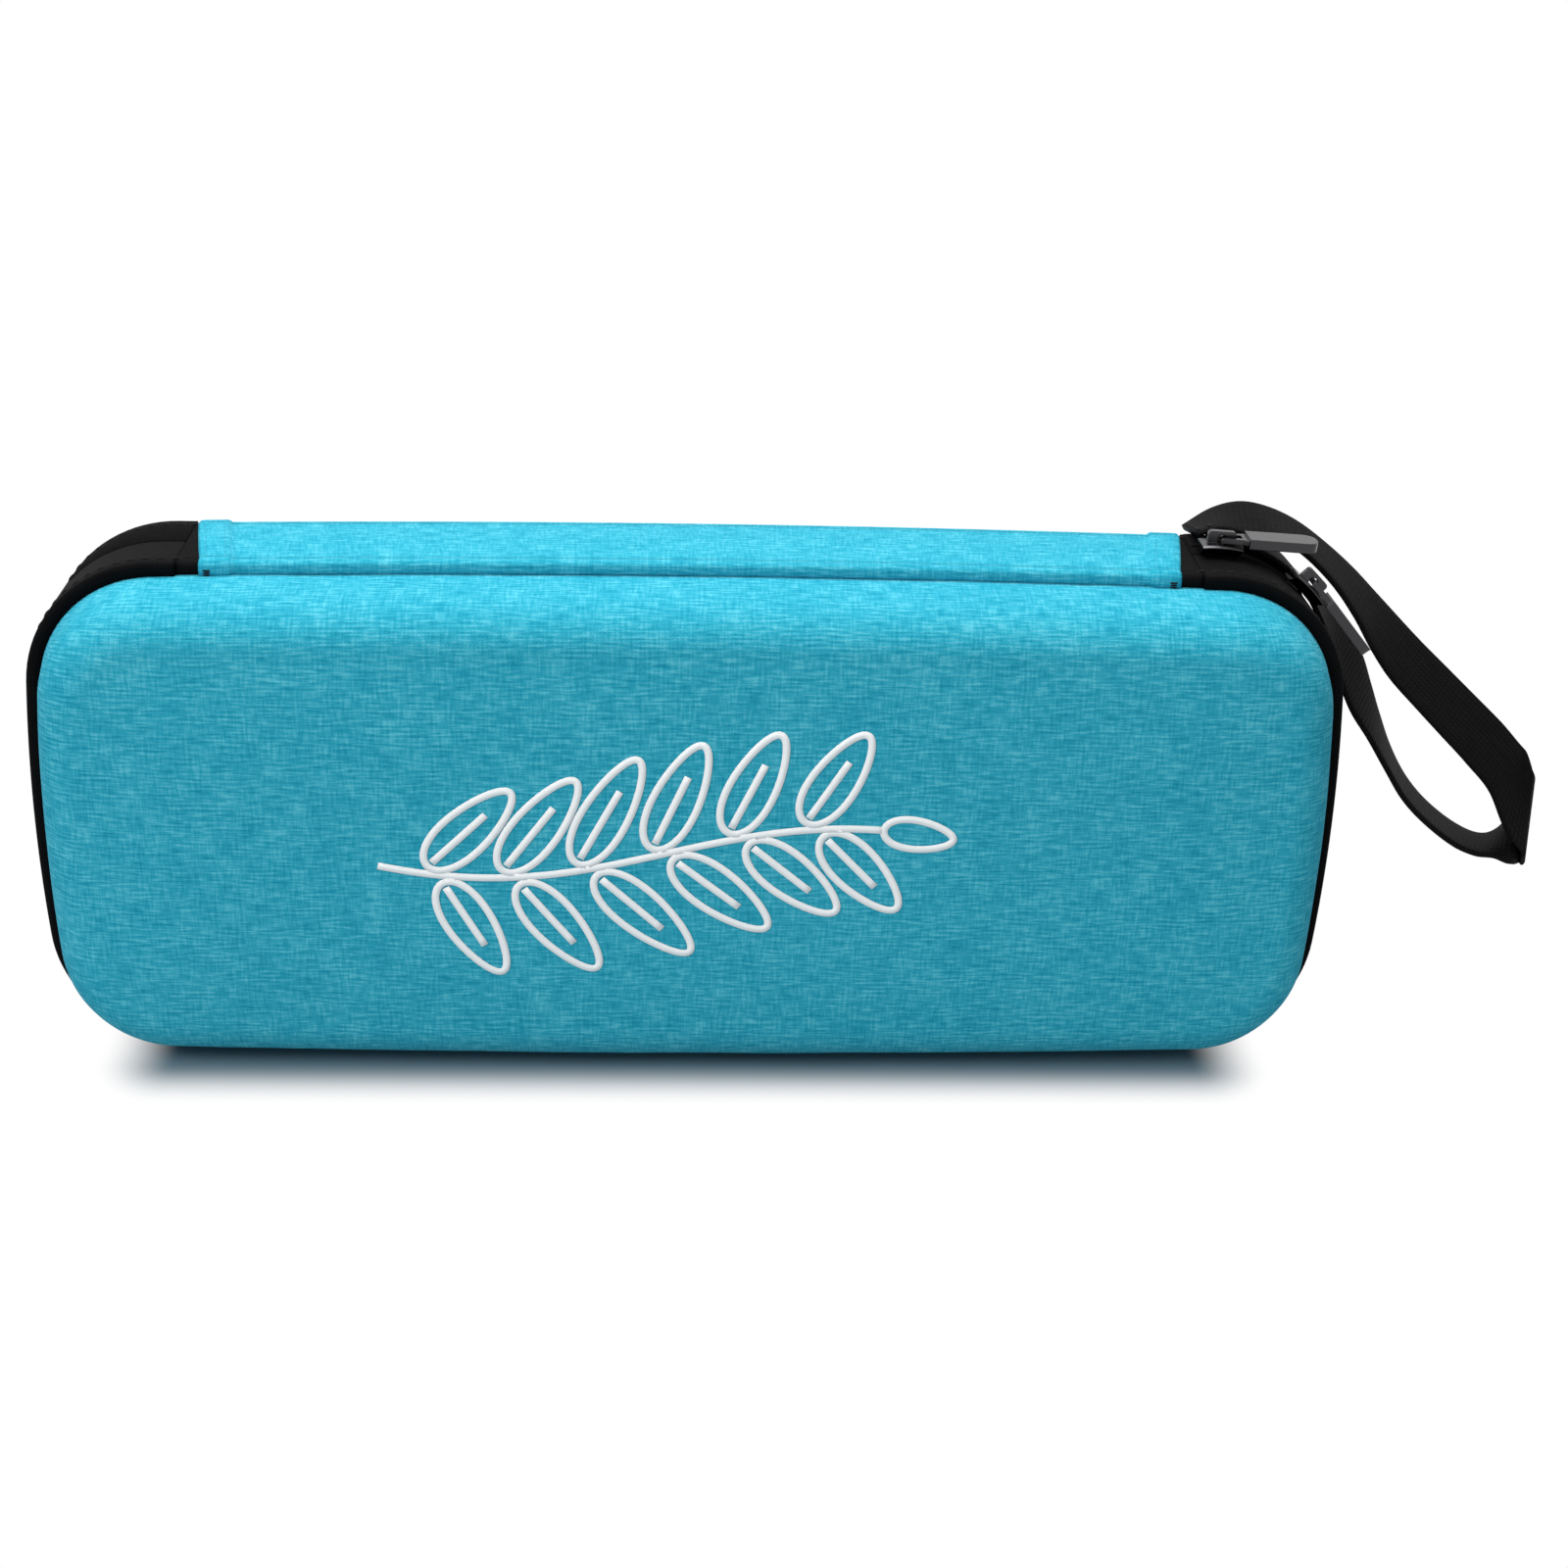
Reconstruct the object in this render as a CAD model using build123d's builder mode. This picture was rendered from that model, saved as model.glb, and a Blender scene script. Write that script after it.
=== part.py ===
"""Zip-round hard case for a stethoscope: two moulded half shells joined by a fabric spine,
a zip with two sliders round the other three sides, and a wrist strap at the spine's right end.

Millimetres.  The case stands on the long edge of its zip band.
X runs along the case, the front half faces -Y, Z is up, and the origin is the middle of the
flat foot of the zip band.
"""
import os
from math import cos, degrees, radians, sqrt, tan

from build123d import *

# ---------------------------------------------------------------- driving dimensions
case_length = 285.0        # over the zip band, end to end
case_height = 114.0        # over the zip band, foot to spine
band_width = 28.0          # zip band between the two half shells
corner_radius = 29.0       # outer corner of the zip band
end_bow = 4.0              # how far the two short ends swell beyond their corners
shell_step = 3.0           # the band stands this far proud of the shells
shell_depth = 18.0         # each half shell, rim to face
shell_draft = 9.0          # degrees of mould draft on the shell walls
face_radius = 11.0         # roll from the shell wall into the face

cover_thickness = 0.6      # woven polyester outside
core_thickness = 3.0       # pressed EVA
lining_thickness = 0.6     # brushed lining
flange_thickness = 2.0     # EVA flange that carries the zip tape
binding_thickness = 0.6    # tape that binds the raw flange inside
tape_thickness = 0.8       # zip tape
coil_height = 2.0          # zip coil under the tape
coil_width = 2.9           # one half of the coil
chain_gap = 0.5            # from the middle plane to each half of the zip

spine_length = 216.0
spine_height = 3.2         # through cover, board and lining
spine_edge_radius = 1.5
spine_board_thickness = 2.0
hem_width = 7.0            # folded and stitched hem at each end of the spine
hem_thickness = 0.5
crease_gap = 0.3           # fabric crease between the spine and each shell
spine_end_gap = 0.4        # between the spine's ends and the zip tape

slider_length = 8.2        # measured along the zip
slider_half_width = 3.4
slider_running_gap = 0.3
slider_plate_thickness = 1.0
slider_top_height = 2.9    # above the tape
slider_edge_chamfer = 0.7
slider_post_width = 0.6
slider_post_length = 3.0
slider_wall = 0.8          # side wall round the fixed half of the coil
slider_relief_height = 2.6 # the moving half of the zip lifts out under this edge
slider_edge_land = 0.25
bridge_width = 1.4
bridge_length = 6.2
bridge_thickness = 0.8
bridge_root = 0.5          # sunk into the domed top plate
bridge_corner = 0.8
pull_bar_radius = 0.6
pull_bar_gap = 0.3
pull_arm_width = 1.2
pull_arm_gap = 0.4
pull_window = 4.4          # from the bar's centre to the far end of the window
pull_grip_start = 5.6
pull_shoulder = 8.0        # where the arms have spread to the grip's full width
pull_length = 21.0         # from the bar's centre to the tip
pull_width = 6.6
pull_thickness = 2.2
pull_tip_radius = 2.6
slider_end_gap = 1.74      # along the zip, from the spine's end to slider A
slider_gap = 12.8          # along the zip, the least room between the two sliders
slider_b_angle = 45.0      # degrees round the corner, where slider B is parked
pull_a_droop = 0.0         # degrees below the slider's own tangent
pull_b_droop = 5.0

strap_width = 15.0
strap_thickness = 1.3
strap_root_gap = 1.6       # along the zip, from the spine's end to the strap's ends
strap_root_run = 2.4       # least length of the strap's flat root
strap_mid_y = 12.5
strap_lift = 1.05          # underside of the strap above the band at its root
strap_fold_gap = 0.1       # between the two stacked ends
strap_corner_steps = 6     # sections where the lower leg hugs the corner
strap_leave_angle = 50.0   # degrees round the corner where the lower leg leaves it
strap_hug_end = 5.0        # degrees of the corner between the last of them and the root
anchor_length = 4.0
anchor_thickness = 0.5
anchor_gap = 0.2           # from the anchor to the spine's end gap

pocket_height = 70.0       # top edge of the mesh pocket above the foot
pocket_setback = 1.5       # mesh behind the front shell's rim
mesh_thickness = 0.5
elastic_height = 8.0
elastic_thickness = 1.5
pocket_binding_width = 5.0
pocket_binding_thickness = 0.8

# ---------------------------------------------------------------- worked-out places
mid_z = case_height / 2
half_band = band_width / 2
cover_face = shell_step
core_face = cover_face + cover_thickness
lining_face = core_face + core_thickness
inner_face = lining_face + lining_thickness
end_radius = (mid_z ** 2 + end_bow ** 2) / (2 * end_bow)
end_centre_x = case_length / 2 - end_radius
corner_z = case_height - corner_radius
corner_x = end_centre_x + sqrt((end_radius - corner_radius) ** 2 - (mid_z - corner_radius) ** 2)
notch_half = spine_length / 2 + spine_end_gap
slider_a_place = slider_end_gap + slider_length / 2
parked_place = corner_x - notch_half + radians(slider_b_angle) * corner_radius
slider_b_place = max(parked_place, slider_a_place + slider_length + slider_gap)
FRONT = -1
BACK = 1
SIDE_NAMES = {FRONT: "front", BACK: "back"}


def save(piece, label):
    """Label a finished piece and write it as its own file."""
    piece.label = label
    export_step(piece, "parts/" + label + ".step")


def side_plane(side, y):
    """Upright plane at distance y from the zip's middle, facing away from it."""
    return Plane(origin=(0, side * y, mid_z), x_dir=(1, 0, 0), z_dir=(0, side, 0))


def case_outline(inset):
    """Outline of the case seen from the front, moved inwards by inset: bowed ends, round corners."""
    half_height = mid_z - inset
    arc_radius = end_radius - inset
    tip_x = end_centre_x + arc_radius
    join_x = end_centre_x + sqrt(arc_radius ** 2 - half_height ** 2)
    with BuildSketch() as outline:
        with BuildLine():
            Line((-join_x, half_height), (join_x, half_height))
            ThreePointArc((join_x, half_height), (tip_x, 0), (join_x, -half_height))
            Line((join_x, -half_height), (-join_x, -half_height))
            ThreePointArc((-join_x, -half_height), (-tip_x, 0), (-join_x, half_height))
        make_face()
        fillet(outline.vertices(), corner_radius - inset)
    return outline.sketch


def moulded_dome(side, layer):
    """Solid half shell whose skin lies layer inside the fabric's outer face."""
    depth = shell_depth - layer
    rim_inset = cover_face + layer / cos(radians(shell_draft))
    with BuildPart() as dome:
        with BuildSketch(side_plane(side, half_band)):
            add(case_outline(rim_inset))
        with BuildSketch(side_plane(side, half_band + depth)):
            add(case_outline(rim_inset + depth * tan(radians(shell_draft))))
        loft(ruled=True)
        face_edges = dome.faces().sort_by(Axis.Y)[0 if side == FRONT else -1].edges()
        fillet(face_edges, face_radius - layer)
    return dome.part


def band_ring(side, near_y, far_y, outer_inset, inner_inset):
    """Ring that follows the case outline, left out along the spine."""
    with BuildPart() as ring:
        with BuildSketch(side_plane(side, near_y)):
            add(case_outline(outer_inset))
            add(case_outline(inner_inset), mode=Mode.SUBTRACT)
        extrude(amount=far_y - near_y)
        with Locations((0, 0, case_height)):
            Box(2 * notch_half, 4 * band_width, 2 * corner_radius, mode=Mode.SUBTRACT)
    return ring.part


# ---------------------------------------------------------------- half shells
def shell_cover(side):
    """Woven fabric bonded to the outside of the half shell."""
    with BuildPart() as cover:
        add(moulded_dome(side, 0))
        add(moulded_dome(side, cover_thickness), mode=Mode.SUBTRACT)
    return cover.part


def shell_core(side):
    """Pressed EVA dish with an outward flange for the zip tape."""
    outer_layer = cover_thickness
    with BuildPart() as core:
        add(band_ring(side, half_band - flange_thickness, half_band, tape_thickness, lining_face))
        add(moulded_dome(side, outer_layer))
        add(moulded_dome(side, outer_layer + core_thickness), mode=Mode.SUBTRACT)
    return core.part


def shell_lining(side):
    """Lining bonded inside the EVA dish."""
    outer_layer = cover_thickness + core_thickness
    with BuildPart() as lining:
        add(moulded_dome(side, outer_layer))
        add(moulded_dome(side, outer_layer + lining_thickness), mode=Mode.SUBTRACT)
    return lining.part


def rim_binding(side):
    """Narrow tape over the raw inner face of the flange."""
    far_y = half_band - flange_thickness
    with BuildPart() as binding:
        add(band_ring(side, far_y - binding_thickness, far_y, tape_thickness, lining_face))
    return binding.part


def zip_tape(side):
    """Zip tape: the band itself, and the lip that folds over the front of the flange."""
    with BuildPart() as tape:
        add(band_ring(side, chain_gap, half_band + tape_thickness, 0, tape_thickness))
        add(band_ring(side, half_band, half_band + tape_thickness, 0, shell_step))
    return tape.part


def zip_coil(side):
    """One half of the nylon coil, sewn to the inside of the tape's edge."""
    with BuildPart() as coil:
        coil_face = tape_thickness + coil_height
        add(band_ring(side, chain_gap, chain_gap + coil_width, tape_thickness, coil_face))
    return coil.part


# ---------------------------------------------------------------- spine
def spine_block(side_inset, top_inset, height):
    """Long block with rounded shoulders, as wide as the band less its two creases."""
    width = band_width - 2 * crease_gap - 2 * side_inset
    with BuildPart() as block:
        with BuildSketch(Plane.XY.offset(case_height - top_inset - height)):
            Rectangle(spine_length, width)
        extrude(amount=height)
        long_edges = block.faces().sort_by(Axis.Z)[-1].edges().filter_by(Axis.X)
        if spine_edge_radius > side_inset:
            fillet(long_edges, spine_edge_radius - side_inset)
    return block.part


def spine_cover():
    """Woven cover wrapped over the spine board, with a stitched hem at each end."""
    with BuildPart() as cover:
        add(spine_block(0, 0, spine_height))
        with BuildSketch(Plane.XY.offset(case_height)):
            with Locations((spine_length / 2 - hem_width / 2, 0), (hem_width / 2 - spine_length / 2, 0)):
                Rectangle(hem_width, band_width - 2 * crease_gap - 2 * spine_edge_radius)
        extrude(amount=hem_thickness)
        hollow_height = spine_height - cover_thickness
        add(spine_block(cover_thickness, cover_thickness, hollow_height), mode=Mode.SUBTRACT)
    return cover.part


def spine_board():
    """EVA strip that stiffens the spine."""
    with BuildPart() as board:
        add(spine_block(cover_thickness, cover_thickness, spine_board_thickness))
    return board.part


def spine_lining():
    """Lining strip under the spine board."""
    top = case_height - cover_thickness - spine_board_thickness
    thickness = spine_height - cover_thickness - spine_board_thickness
    with BuildPart() as lining:
        with BuildSketch(Plane.XY.offset(top - thickness)):
            Rectangle(spine_length, band_width - 2 * crease_gap - 2 * cover_thickness)
        extrude(amount=thickness)
    return lining.part


# ---------------------------------------------------------------- places along the zip
def past_corner_start(distance):
    """How far a place on the zip, distance past the spine's end, lies beyond the corner's start."""
    return notch_half + distance - corner_x


def turned_at(distance):
    """Degrees that the zip has turned down, distance past the spine's end."""
    return degrees(max(0, past_corner_start(distance)) / corner_radius)


def turned_plane(axis_x, angle, radius, droop=0.0):
    """Upright plane in the zip's middle, angle degrees round from the top about the axis at axis_x:
    its origin is radius away from that axis, local X runs along the zip and local Y outwards."""
    upright = Plane(origin=(axis_x, 0, corner_z), x_dir=(1, 0, 0), z_dir=(0, FRONT, 0))
    return Plane(upright * Rot(Z=-angle) * Pos(0, radius, 0) * Rot(Z=-droop))


def zip_plane(distance, radius=0.0, droop=0.0):
    """The same plane at a place on the zip, distance past the spine's end."""
    axis_x = corner_x + min(0, past_corner_start(distance))
    return turned_plane(axis_x, turned_at(distance), radius, droop)


def flat_on(plane):
    """The same place with local Z outwards: local X along the zip, local Y towards the back."""
    return Plane(origin=plane.origin, x_dir=plane.x_dir, z_dir=plane.y_dir)


def cut_across(plane):
    """The same place with local Z along the zip: local X towards the back, local Y outwards."""
    return Plane(origin=plane.origin, x_dir=-plane.z_dir, z_dir=plane.x_dir)


# ---------------------------------------------------------------- zip sliders
def slider_body(place):
    """Die-cast slider: domed top plate with a bridge, post between the two halves of the zip,
    bottom plate, and a side wall round the fixed half.  The moving half lifts out at the front."""
    top_low = corner_radius + slider_running_gap
    top_high = corner_radius + slider_top_height
    bottom_high = corner_radius - tape_thickness - coil_height - slider_running_gap
    bottom_low = bottom_high - slider_plate_thickness
    wall_inner = chain_gap + coil_width + slider_running_gap
    wall_outer = wall_inner + slider_wall
    wall_top = corner_radius - tape_thickness - slider_running_gap
    relief_high = corner_radius + slider_relief_height
    shoulder = slider_half_width - slider_edge_chamfer
    arc = degrees(slider_length / corner_radius)
    start = cut_across(zip_plane(place, droop=-arc / 2))
    turning_axis = Axis(start.origin, (0, 1, 0))
    with BuildPart() as body:
        with BuildSketch(start):
            with BuildLine():
                Polyline(
                    (slider_half_width, top_low),
                    (slider_half_width, top_high - slider_edge_chamfer),
                    (shoulder, top_high),
                    (-shoulder, top_high),
                    (-slider_half_width, relief_high),
                    (-slider_half_width, relief_high - slider_edge_land),
                    (-slider_post_width / 2, top_low),
                    close=True,
                )
            make_face()
            with BuildLine():
                Polyline(
                    (-wall_inner, bottom_low),
                    (-wall_inner, bottom_high),
                    (wall_inner, bottom_high),
                    (wall_inner, wall_top),
                    (wall_outer, wall_top),
                    (wall_outer, bottom_low),
                    close=True,
                )
            make_face()
        revolve(axis=turning_axis, revolution_arc=arc)
        with BuildSketch(start):
            with Locations((0, (bottom_low + top_high) / 2)):
                Rectangle(slider_post_width, top_high - bottom_low)
        revolve(axis=turning_axis, revolution_arc=degrees(slider_post_length / corner_radius))
        bar_room = pull_bar_radius + pull_bar_gap
        bridge_top = 2 * bar_room + bridge_thickness
        with BuildSketch(zip_plane(place, top_high)):
            with Locations((0, (bridge_top - bridge_root) / 2)):
                RectangleRounded(bridge_length, bridge_top + bridge_root, bridge_corner)
            with Locations((0, (bar_room - bridge_root) / 2)):
                Rectangle(2 * bar_room, bar_room + bridge_root, mode=Mode.SUBTRACT)
            with Locations((0, bar_room)):
                Circle(bar_room, mode=Mode.SUBTRACT)
        extrude(amount=bridge_width / 2, both=True)
    return body.part


def slider_pull(place, droop):
    """Pull tab: round bar under the slider's bridge, two arms beside it, and a thicker grip."""
    bar_height = corner_radius + slider_top_height + pull_bar_radius + pull_bar_gap
    side_view = zip_plane(place, bar_height, droop)
    top_view = flat_on(side_view)
    window_half = bridge_width / 2 + pull_arm_gap
    arm_half = window_half + pull_arm_width
    grip_half = pull_width / 2
    with BuildPart() as pull:
        with BuildSketch(top_view):
            with BuildLine():
                Polyline(
                    (0, arm_half),
                    (pull_window, arm_half),
                    (pull_shoulder, grip_half),
                    (pull_length, grip_half),
                    (pull_length, -grip_half),
                    (pull_shoulder, -grip_half),
                    (pull_window, -arm_half),
                    (0, -arm_half),
                    close=True,
                )
            make_face()
            with Locations((pull_window / 2, 0)):
                Rectangle(pull_window, 2 * window_half, mode=Mode.SUBTRACT)
        extrude(amount=pull_bar_radius, both=True)
        with BuildSketch(side_view):
            Circle(pull_bar_radius)
        extrude(amount=arm_half, both=True)
        with BuildSketch(top_view):
            with Locations(((pull_grip_start + pull_length) / 2, 0)):
                Rectangle(pull_length - pull_grip_start, pull_width)
        extrude(amount=pull_thickness / 2, both=True)
        thickness_axis = Axis(side_view.origin, side_view.y_dir)
        length_axis = Axis(side_view.origin, side_view.x_dir)
        tip_corners = pull.edges().filter_by(thickness_axis).group_by(length_axis)[-1]
        fillet(tip_corners, pull_tip_radius)
    return pull.part


# ---------------------------------------------------------------- wrist strap
# Each station holds the webbing's middle, measured in X from where the strap turns down and in
# Z from the top of the band, and the direction from its front edge to its back edge.
LEVEL = (0, 1, 0)
SEWN = (0, 1, -0.15)
UPPER_LEG = [
    ((2.5, 12.5, 4.4), (0, 1, -0.08)),
    ((9.0, 12.5, 5.9), (0.06, 1, 0.0)),
    ((15.0, 12.5, 4.6), (0.12, 1, 0.03)),
    ((20.8, 12.5, 1.0), (0.22, 0.97, 0.06)),
    ((26.8, 12.4, -4.0), (0.36, 0.93, 0.08)),
    ((33.2, 12.2, -9.6), (0.46, 0.88, 0.08)),
    ((39.3, 12.0, -16.0), (0.52, 0.84, 0.14)),
    ((44.8, 12.0, -22.4), (0.56, 0.78, 0.24)),
    ((50.2, 12.0, -28.6), (0.59, 0.72, 0.37)),
    ((56.9, 12.0, -35.4), (0.60, 0.68, 0.42)),
    ((63.8, 12.0, -42.1), (0.62, 0.62, 0.46)),
    ((71.4, 12.0, -49.7), (0.66, 0.50, 0.56)),
    ((77.2, 12.0, -56.4), (0.58, 0.36, 0.73)),
    ((81.4, 12.0, -62.4), (0.34, 0.22, 0.92)),
]
FOLD_LINE = (0.08, 0.10, 1.0)
FOLD = [
    ((83.6, 12.2, -66.0), FOLD_LINE),
    ((84.9, 12.9, -67.4), FOLD_LINE),
    ((85.3, 14.2, -68.8), FOLD_LINE),
    ((84.9, 15.5, -70.2), FOLD_LINE),
    ((83.6, 16.2, -71.6), FOLD_LINE),
]
LOWER_LEG = [
    ((80.2, 16.3, -73.6), (0.05, 0.40, 0.92)),
    ((76.0, 15.8, -75.0), (0.10, 0.76, 0.64)),
    ((71.8, 15.0, -75.1), (0.14, 0.94, 0.30)),
    ((67.2, 14.2, -73.0), (0.14, 0.98, 0.12)),
    ((59.8, 13.2, -66.7), (0.12, 1, 0.06)),
    ((54.3, 12.7, -60.3), (0.10, 1, 0.04)),
    ((49.2, 12.5, -52.9), LEVEL),
    ((44.8, 12.5, -44.8), LEVEL),
    ((41.6, 12.5, -37.8), LEVEL),
    ((38.8, 12.5, -31.0), LEVEL),
    ((35.2, 12.5, -24.4), LEVEL),
    ((30.0, 12.5, -17.4), LEVEL),
]


def strap_stations():
    """Middle point and width direction of every section, from the upper end round to the lower."""
    low_end = corner_radius + strap_lift + strap_thickness / 2
    high_end = low_end + strap_thickness + strap_fold_gap
    middle = Vector(0, strap_mid_y, 0)
    turn_x = max(corner_x, notch_half + strap_root_gap + strap_root_run)
    stations = [(zip_plane(strap_root_gap, high_end).origin + middle, SEWN)]
    for (x, y, z), width in UPPER_LEG + FOLD + LOWER_LEG:
        stations.append((Vector(turn_x + x, y, case_height + z), width))
    hug_end = turned_at(strap_root_gap) + strap_hug_end
    for step in range(strap_corner_steps):
        angle = strap_leave_angle + (hug_end - strap_leave_angle) * step / (strap_corner_steps - 1)
        stations.append((turned_plane(corner_x, angle, low_end).origin + middle, LEVEL))
    stations.append((zip_plane(strap_root_gap, low_end).origin + middle, SEWN))
    return stations


def wrist_strap():
    """One length of flat webbing, folded into a loop; both ends are stacked at the root."""
    stations = strap_stations()
    points = [point for point, width in stations]
    with BuildPart() as strap:
        for index, (point, width) in enumerate(stations):
            before = points[max(index - 1, 0)]
            after = points[min(index + 1, len(points) - 1)]
            width = Vector(*width).normalized()
            forward = (after - before).normalized()
            forward = forward - width * forward.dot(width)
            with BuildSketch(Plane(origin=point, x_dir=width, z_dir=forward)):
                Rectangle(strap_width / forward.length, strap_thickness)
        loft(ruled=True)
    return strap.part


def strap_anchor():
    """Folded patch sewn to the back half of the zip tape, under the strap's ends."""
    inner_y = strap_mid_y - strap_width / 2
    with BuildPart() as anchor:
        with BuildSketch(flat_on(zip_plane(anchor_gap + anchor_length / 2, corner_radius))):
            with Locations((0, (inner_y + half_band) / 2)):
                Rectangle(anchor_length, half_band - inner_y)
        extrude(amount=anchor_thickness)
    return anchor.part


# ---------------------------------------------------------------- mesh pocket in the front half
def pocket_slab(near_y, far_y, low_z, high_z):
    """Slice of the space inside the front lining, between two distances from the zip's middle."""
    lining_skin = cover_thickness + core_thickness + lining_thickness
    with BuildPart() as slab:
        add(moulded_dome(FRONT, lining_skin))
        with Locations((0, -(near_y + far_y) / 2, (low_z + high_z) / 2)):
            Box(2 * case_length, far_y - near_y, high_z - low_z, mode=Mode.INTERSECT)
    return slab.part


def mesh_pocket():
    """Flat mesh across the lower part of the front half."""
    near_y = half_band + pocket_setback
    with BuildPart() as mesh:
        add(pocket_slab(near_y, near_y + mesh_thickness, 0, pocket_height - elastic_height))
    return mesh.part


def pocket_elastic():
    """Elastic band along the pocket's mouth."""
    near_y = half_band + pocket_setback
    with BuildPart() as elastic:
        add(pocket_slab(near_y, near_y + elastic_thickness, pocket_height - elastic_height, pocket_height))
    return elastic.part


def pocket_binding():
    """Tape that holds the mesh's edge to the lining, round the ends and the bottom."""
    far_y = half_band + pocket_setback
    near_y = far_y - pocket_binding_thickness
    with BuildPart() as binding:
        add(pocket_slab(near_y, far_y, 0, pocket_height))
        with BuildSketch(side_plane(FRONT, half_band)):
            add(case_outline(inner_face + pocket_binding_width))
        extrude(amount=2 * pocket_setback, mode=Mode.SUBTRACT)
    return binding.part


# ---------------------------------------------------------------- build everything
os.makedirs("parts", exist_ok=True)
for side, name in SIDE_NAMES.items():
    save(shell_cover(side), name + "_shell_cover")
    save(shell_core(side), name + "_shell_core")
    save(shell_lining(side), name + "_shell_lining")
    save(rim_binding(side), name + "_rim_binding")
    save(zip_tape(side), name + "_zip_tape")
    save(zip_coil(side), name + "_zip_coil")
save(spine_cover(), "spine_cover")
save(spine_board(), "spine_board")
save(spine_lining(), "spine_lining")
save(slider_body(slider_a_place), "slider_a_body")
save(slider_pull(slider_a_place, pull_a_droop), "slider_a_pull")
save(slider_body(slider_b_place), "slider_b_body")
save(slider_pull(slider_b_place, pull_b_droop), "slider_b_pull")
save(wrist_strap(), "wrist_strap")
save(strap_anchor(), "strap_anchor")
save(mesh_pocket(), "mesh_pocket")
save(pocket_elastic(), "pocket_elastic")
save(pocket_binding(), "pocket_binding")
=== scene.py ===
"""Looks of a zip-round hard case: woven covers over moulded foam shells, a fabric spine that folds,
zip tapes with a reversed coil, two gunmetal sliders, a wrist strap, and the lining and mesh
pocket inside.  Sizes are in millimetres and become metres where a mesh is made."""
from math import atan2, cos, hypot, pi, radians, sin, sqrt, tan

import bmesh
import bpy
from mathutils import Matrix, Vector, noise
from mathutils.bvhtree import BVHTree


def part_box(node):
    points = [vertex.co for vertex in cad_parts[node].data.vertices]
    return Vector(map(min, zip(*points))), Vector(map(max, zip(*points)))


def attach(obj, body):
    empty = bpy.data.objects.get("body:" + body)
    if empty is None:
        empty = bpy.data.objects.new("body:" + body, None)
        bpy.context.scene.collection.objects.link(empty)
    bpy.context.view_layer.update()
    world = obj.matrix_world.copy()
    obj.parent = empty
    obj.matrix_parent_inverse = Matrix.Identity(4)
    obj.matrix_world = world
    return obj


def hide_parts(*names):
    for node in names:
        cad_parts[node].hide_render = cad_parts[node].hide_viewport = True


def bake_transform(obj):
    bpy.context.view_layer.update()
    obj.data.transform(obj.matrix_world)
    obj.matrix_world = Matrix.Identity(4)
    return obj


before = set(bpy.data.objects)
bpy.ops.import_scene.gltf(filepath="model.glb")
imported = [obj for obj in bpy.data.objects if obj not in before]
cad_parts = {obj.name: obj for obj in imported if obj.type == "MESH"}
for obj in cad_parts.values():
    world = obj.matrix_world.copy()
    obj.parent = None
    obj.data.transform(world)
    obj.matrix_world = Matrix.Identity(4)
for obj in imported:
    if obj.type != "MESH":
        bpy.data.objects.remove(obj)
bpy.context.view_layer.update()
scene = bpy.context.scene
MM = 0.001
FRONT, BACK = -1, 1
HALVES = ((FRONT, "front"), (BACK, "back"))
ENDS = ((-1, "left"), (1, "right"))


def box_mm(node):
    """Lowest and highest corners of a CAD node, in millimetres."""
    low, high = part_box(node)
    return low / MM, high / MM


# ---- sizes from the frame
tape_low, tape_high = box_mm("back_zip_tape")
cover_low, cover_high = box_mm("back_shell_cover")
coil_low, coil_high = box_mm("back_zip_coil")
binding_low, binding_high = box_mm("back_rim_binding")
net_low, net_high = box_mm("mesh_pocket")
elastic_low, elastic_high = box_mm("pocket_elastic")
pocket_trim_low, pocket_trim_high = box_mm("pocket_binding")

case_length = 2 * tape_high.x
case_height = tape_high.z
mid_z = case_height / 2
lip_y = tape_high.y
rim_y = cover_low.y
face_y = cover_high.y
shell_step = tape_high.x - cover_high.x
chain_gap = tape_low.y
tape_thickness = tape_high.x - coil_high.x
spine_half = box_mm("spine_cover")[1].x

# ---- sizes of the moulded forms
corner_radius = 29.0
end_bow = 4.0              # how far the short ends swell beyond their corners
wall_draft = radians(9.0)
face_roll = 11.0           # roll from the shell wall into the face
side_bow = 1.3             # how far pressed fabric bellies out along the long sides
face_crown = 2.0           # how far the faces swell
cover_thickness = 0.6
core_thickness = 3.0
lining_thickness = 0.6
lining_slack = 0.2         # between the foam and the lining
notch_half = spine_half + 0.4
lining_inset = shell_step + cover_thickness + core_thickness

end_radius = (mid_z ** 2 + end_bow ** 2) / (2 * end_bow)
end_centre_x = case_length / 2 - end_radius
corner_z = mid_z - corner_radius
corner_x = end_centre_x + sqrt((end_radius - corner_radius) ** 2 - corner_z ** 2)
corner_end = atan2(corner_z, corner_x - end_centre_x)
medial_half = case_length / 2 - mid_z


# ---- node helpers
def add(tree, kind, inputs=None, **settings):
    """Add a node with its settings, and give its inputs a value or a socket to follow."""
    made = tree.nodes.new(kind)
    for name, value in settings.items():
        setattr(made, name, value)
    for name, value in (inputs or {}).items():
        if isinstance(value, bpy.types.NodeSocket):
            tree.links.new(value, made.inputs[name])
        else:
            made.inputs[name].default_value = value
    return made


def first(tree, kind, inputs=None, **settings):
    """First output of a node that is added so."""
    return add(tree, kind, inputs, **settings).outputs[0]


def math(tree, operation, a, b):
    """Result of an operation on two sockets or numbers."""
    return first(tree, "ShaderNodeMath", {0: a, 1: b}, operation=operation)


def times(tree, a, b):
    """Product of two sockets or numbers."""
    return math(tree, "MULTIPLY", a, b)


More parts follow.
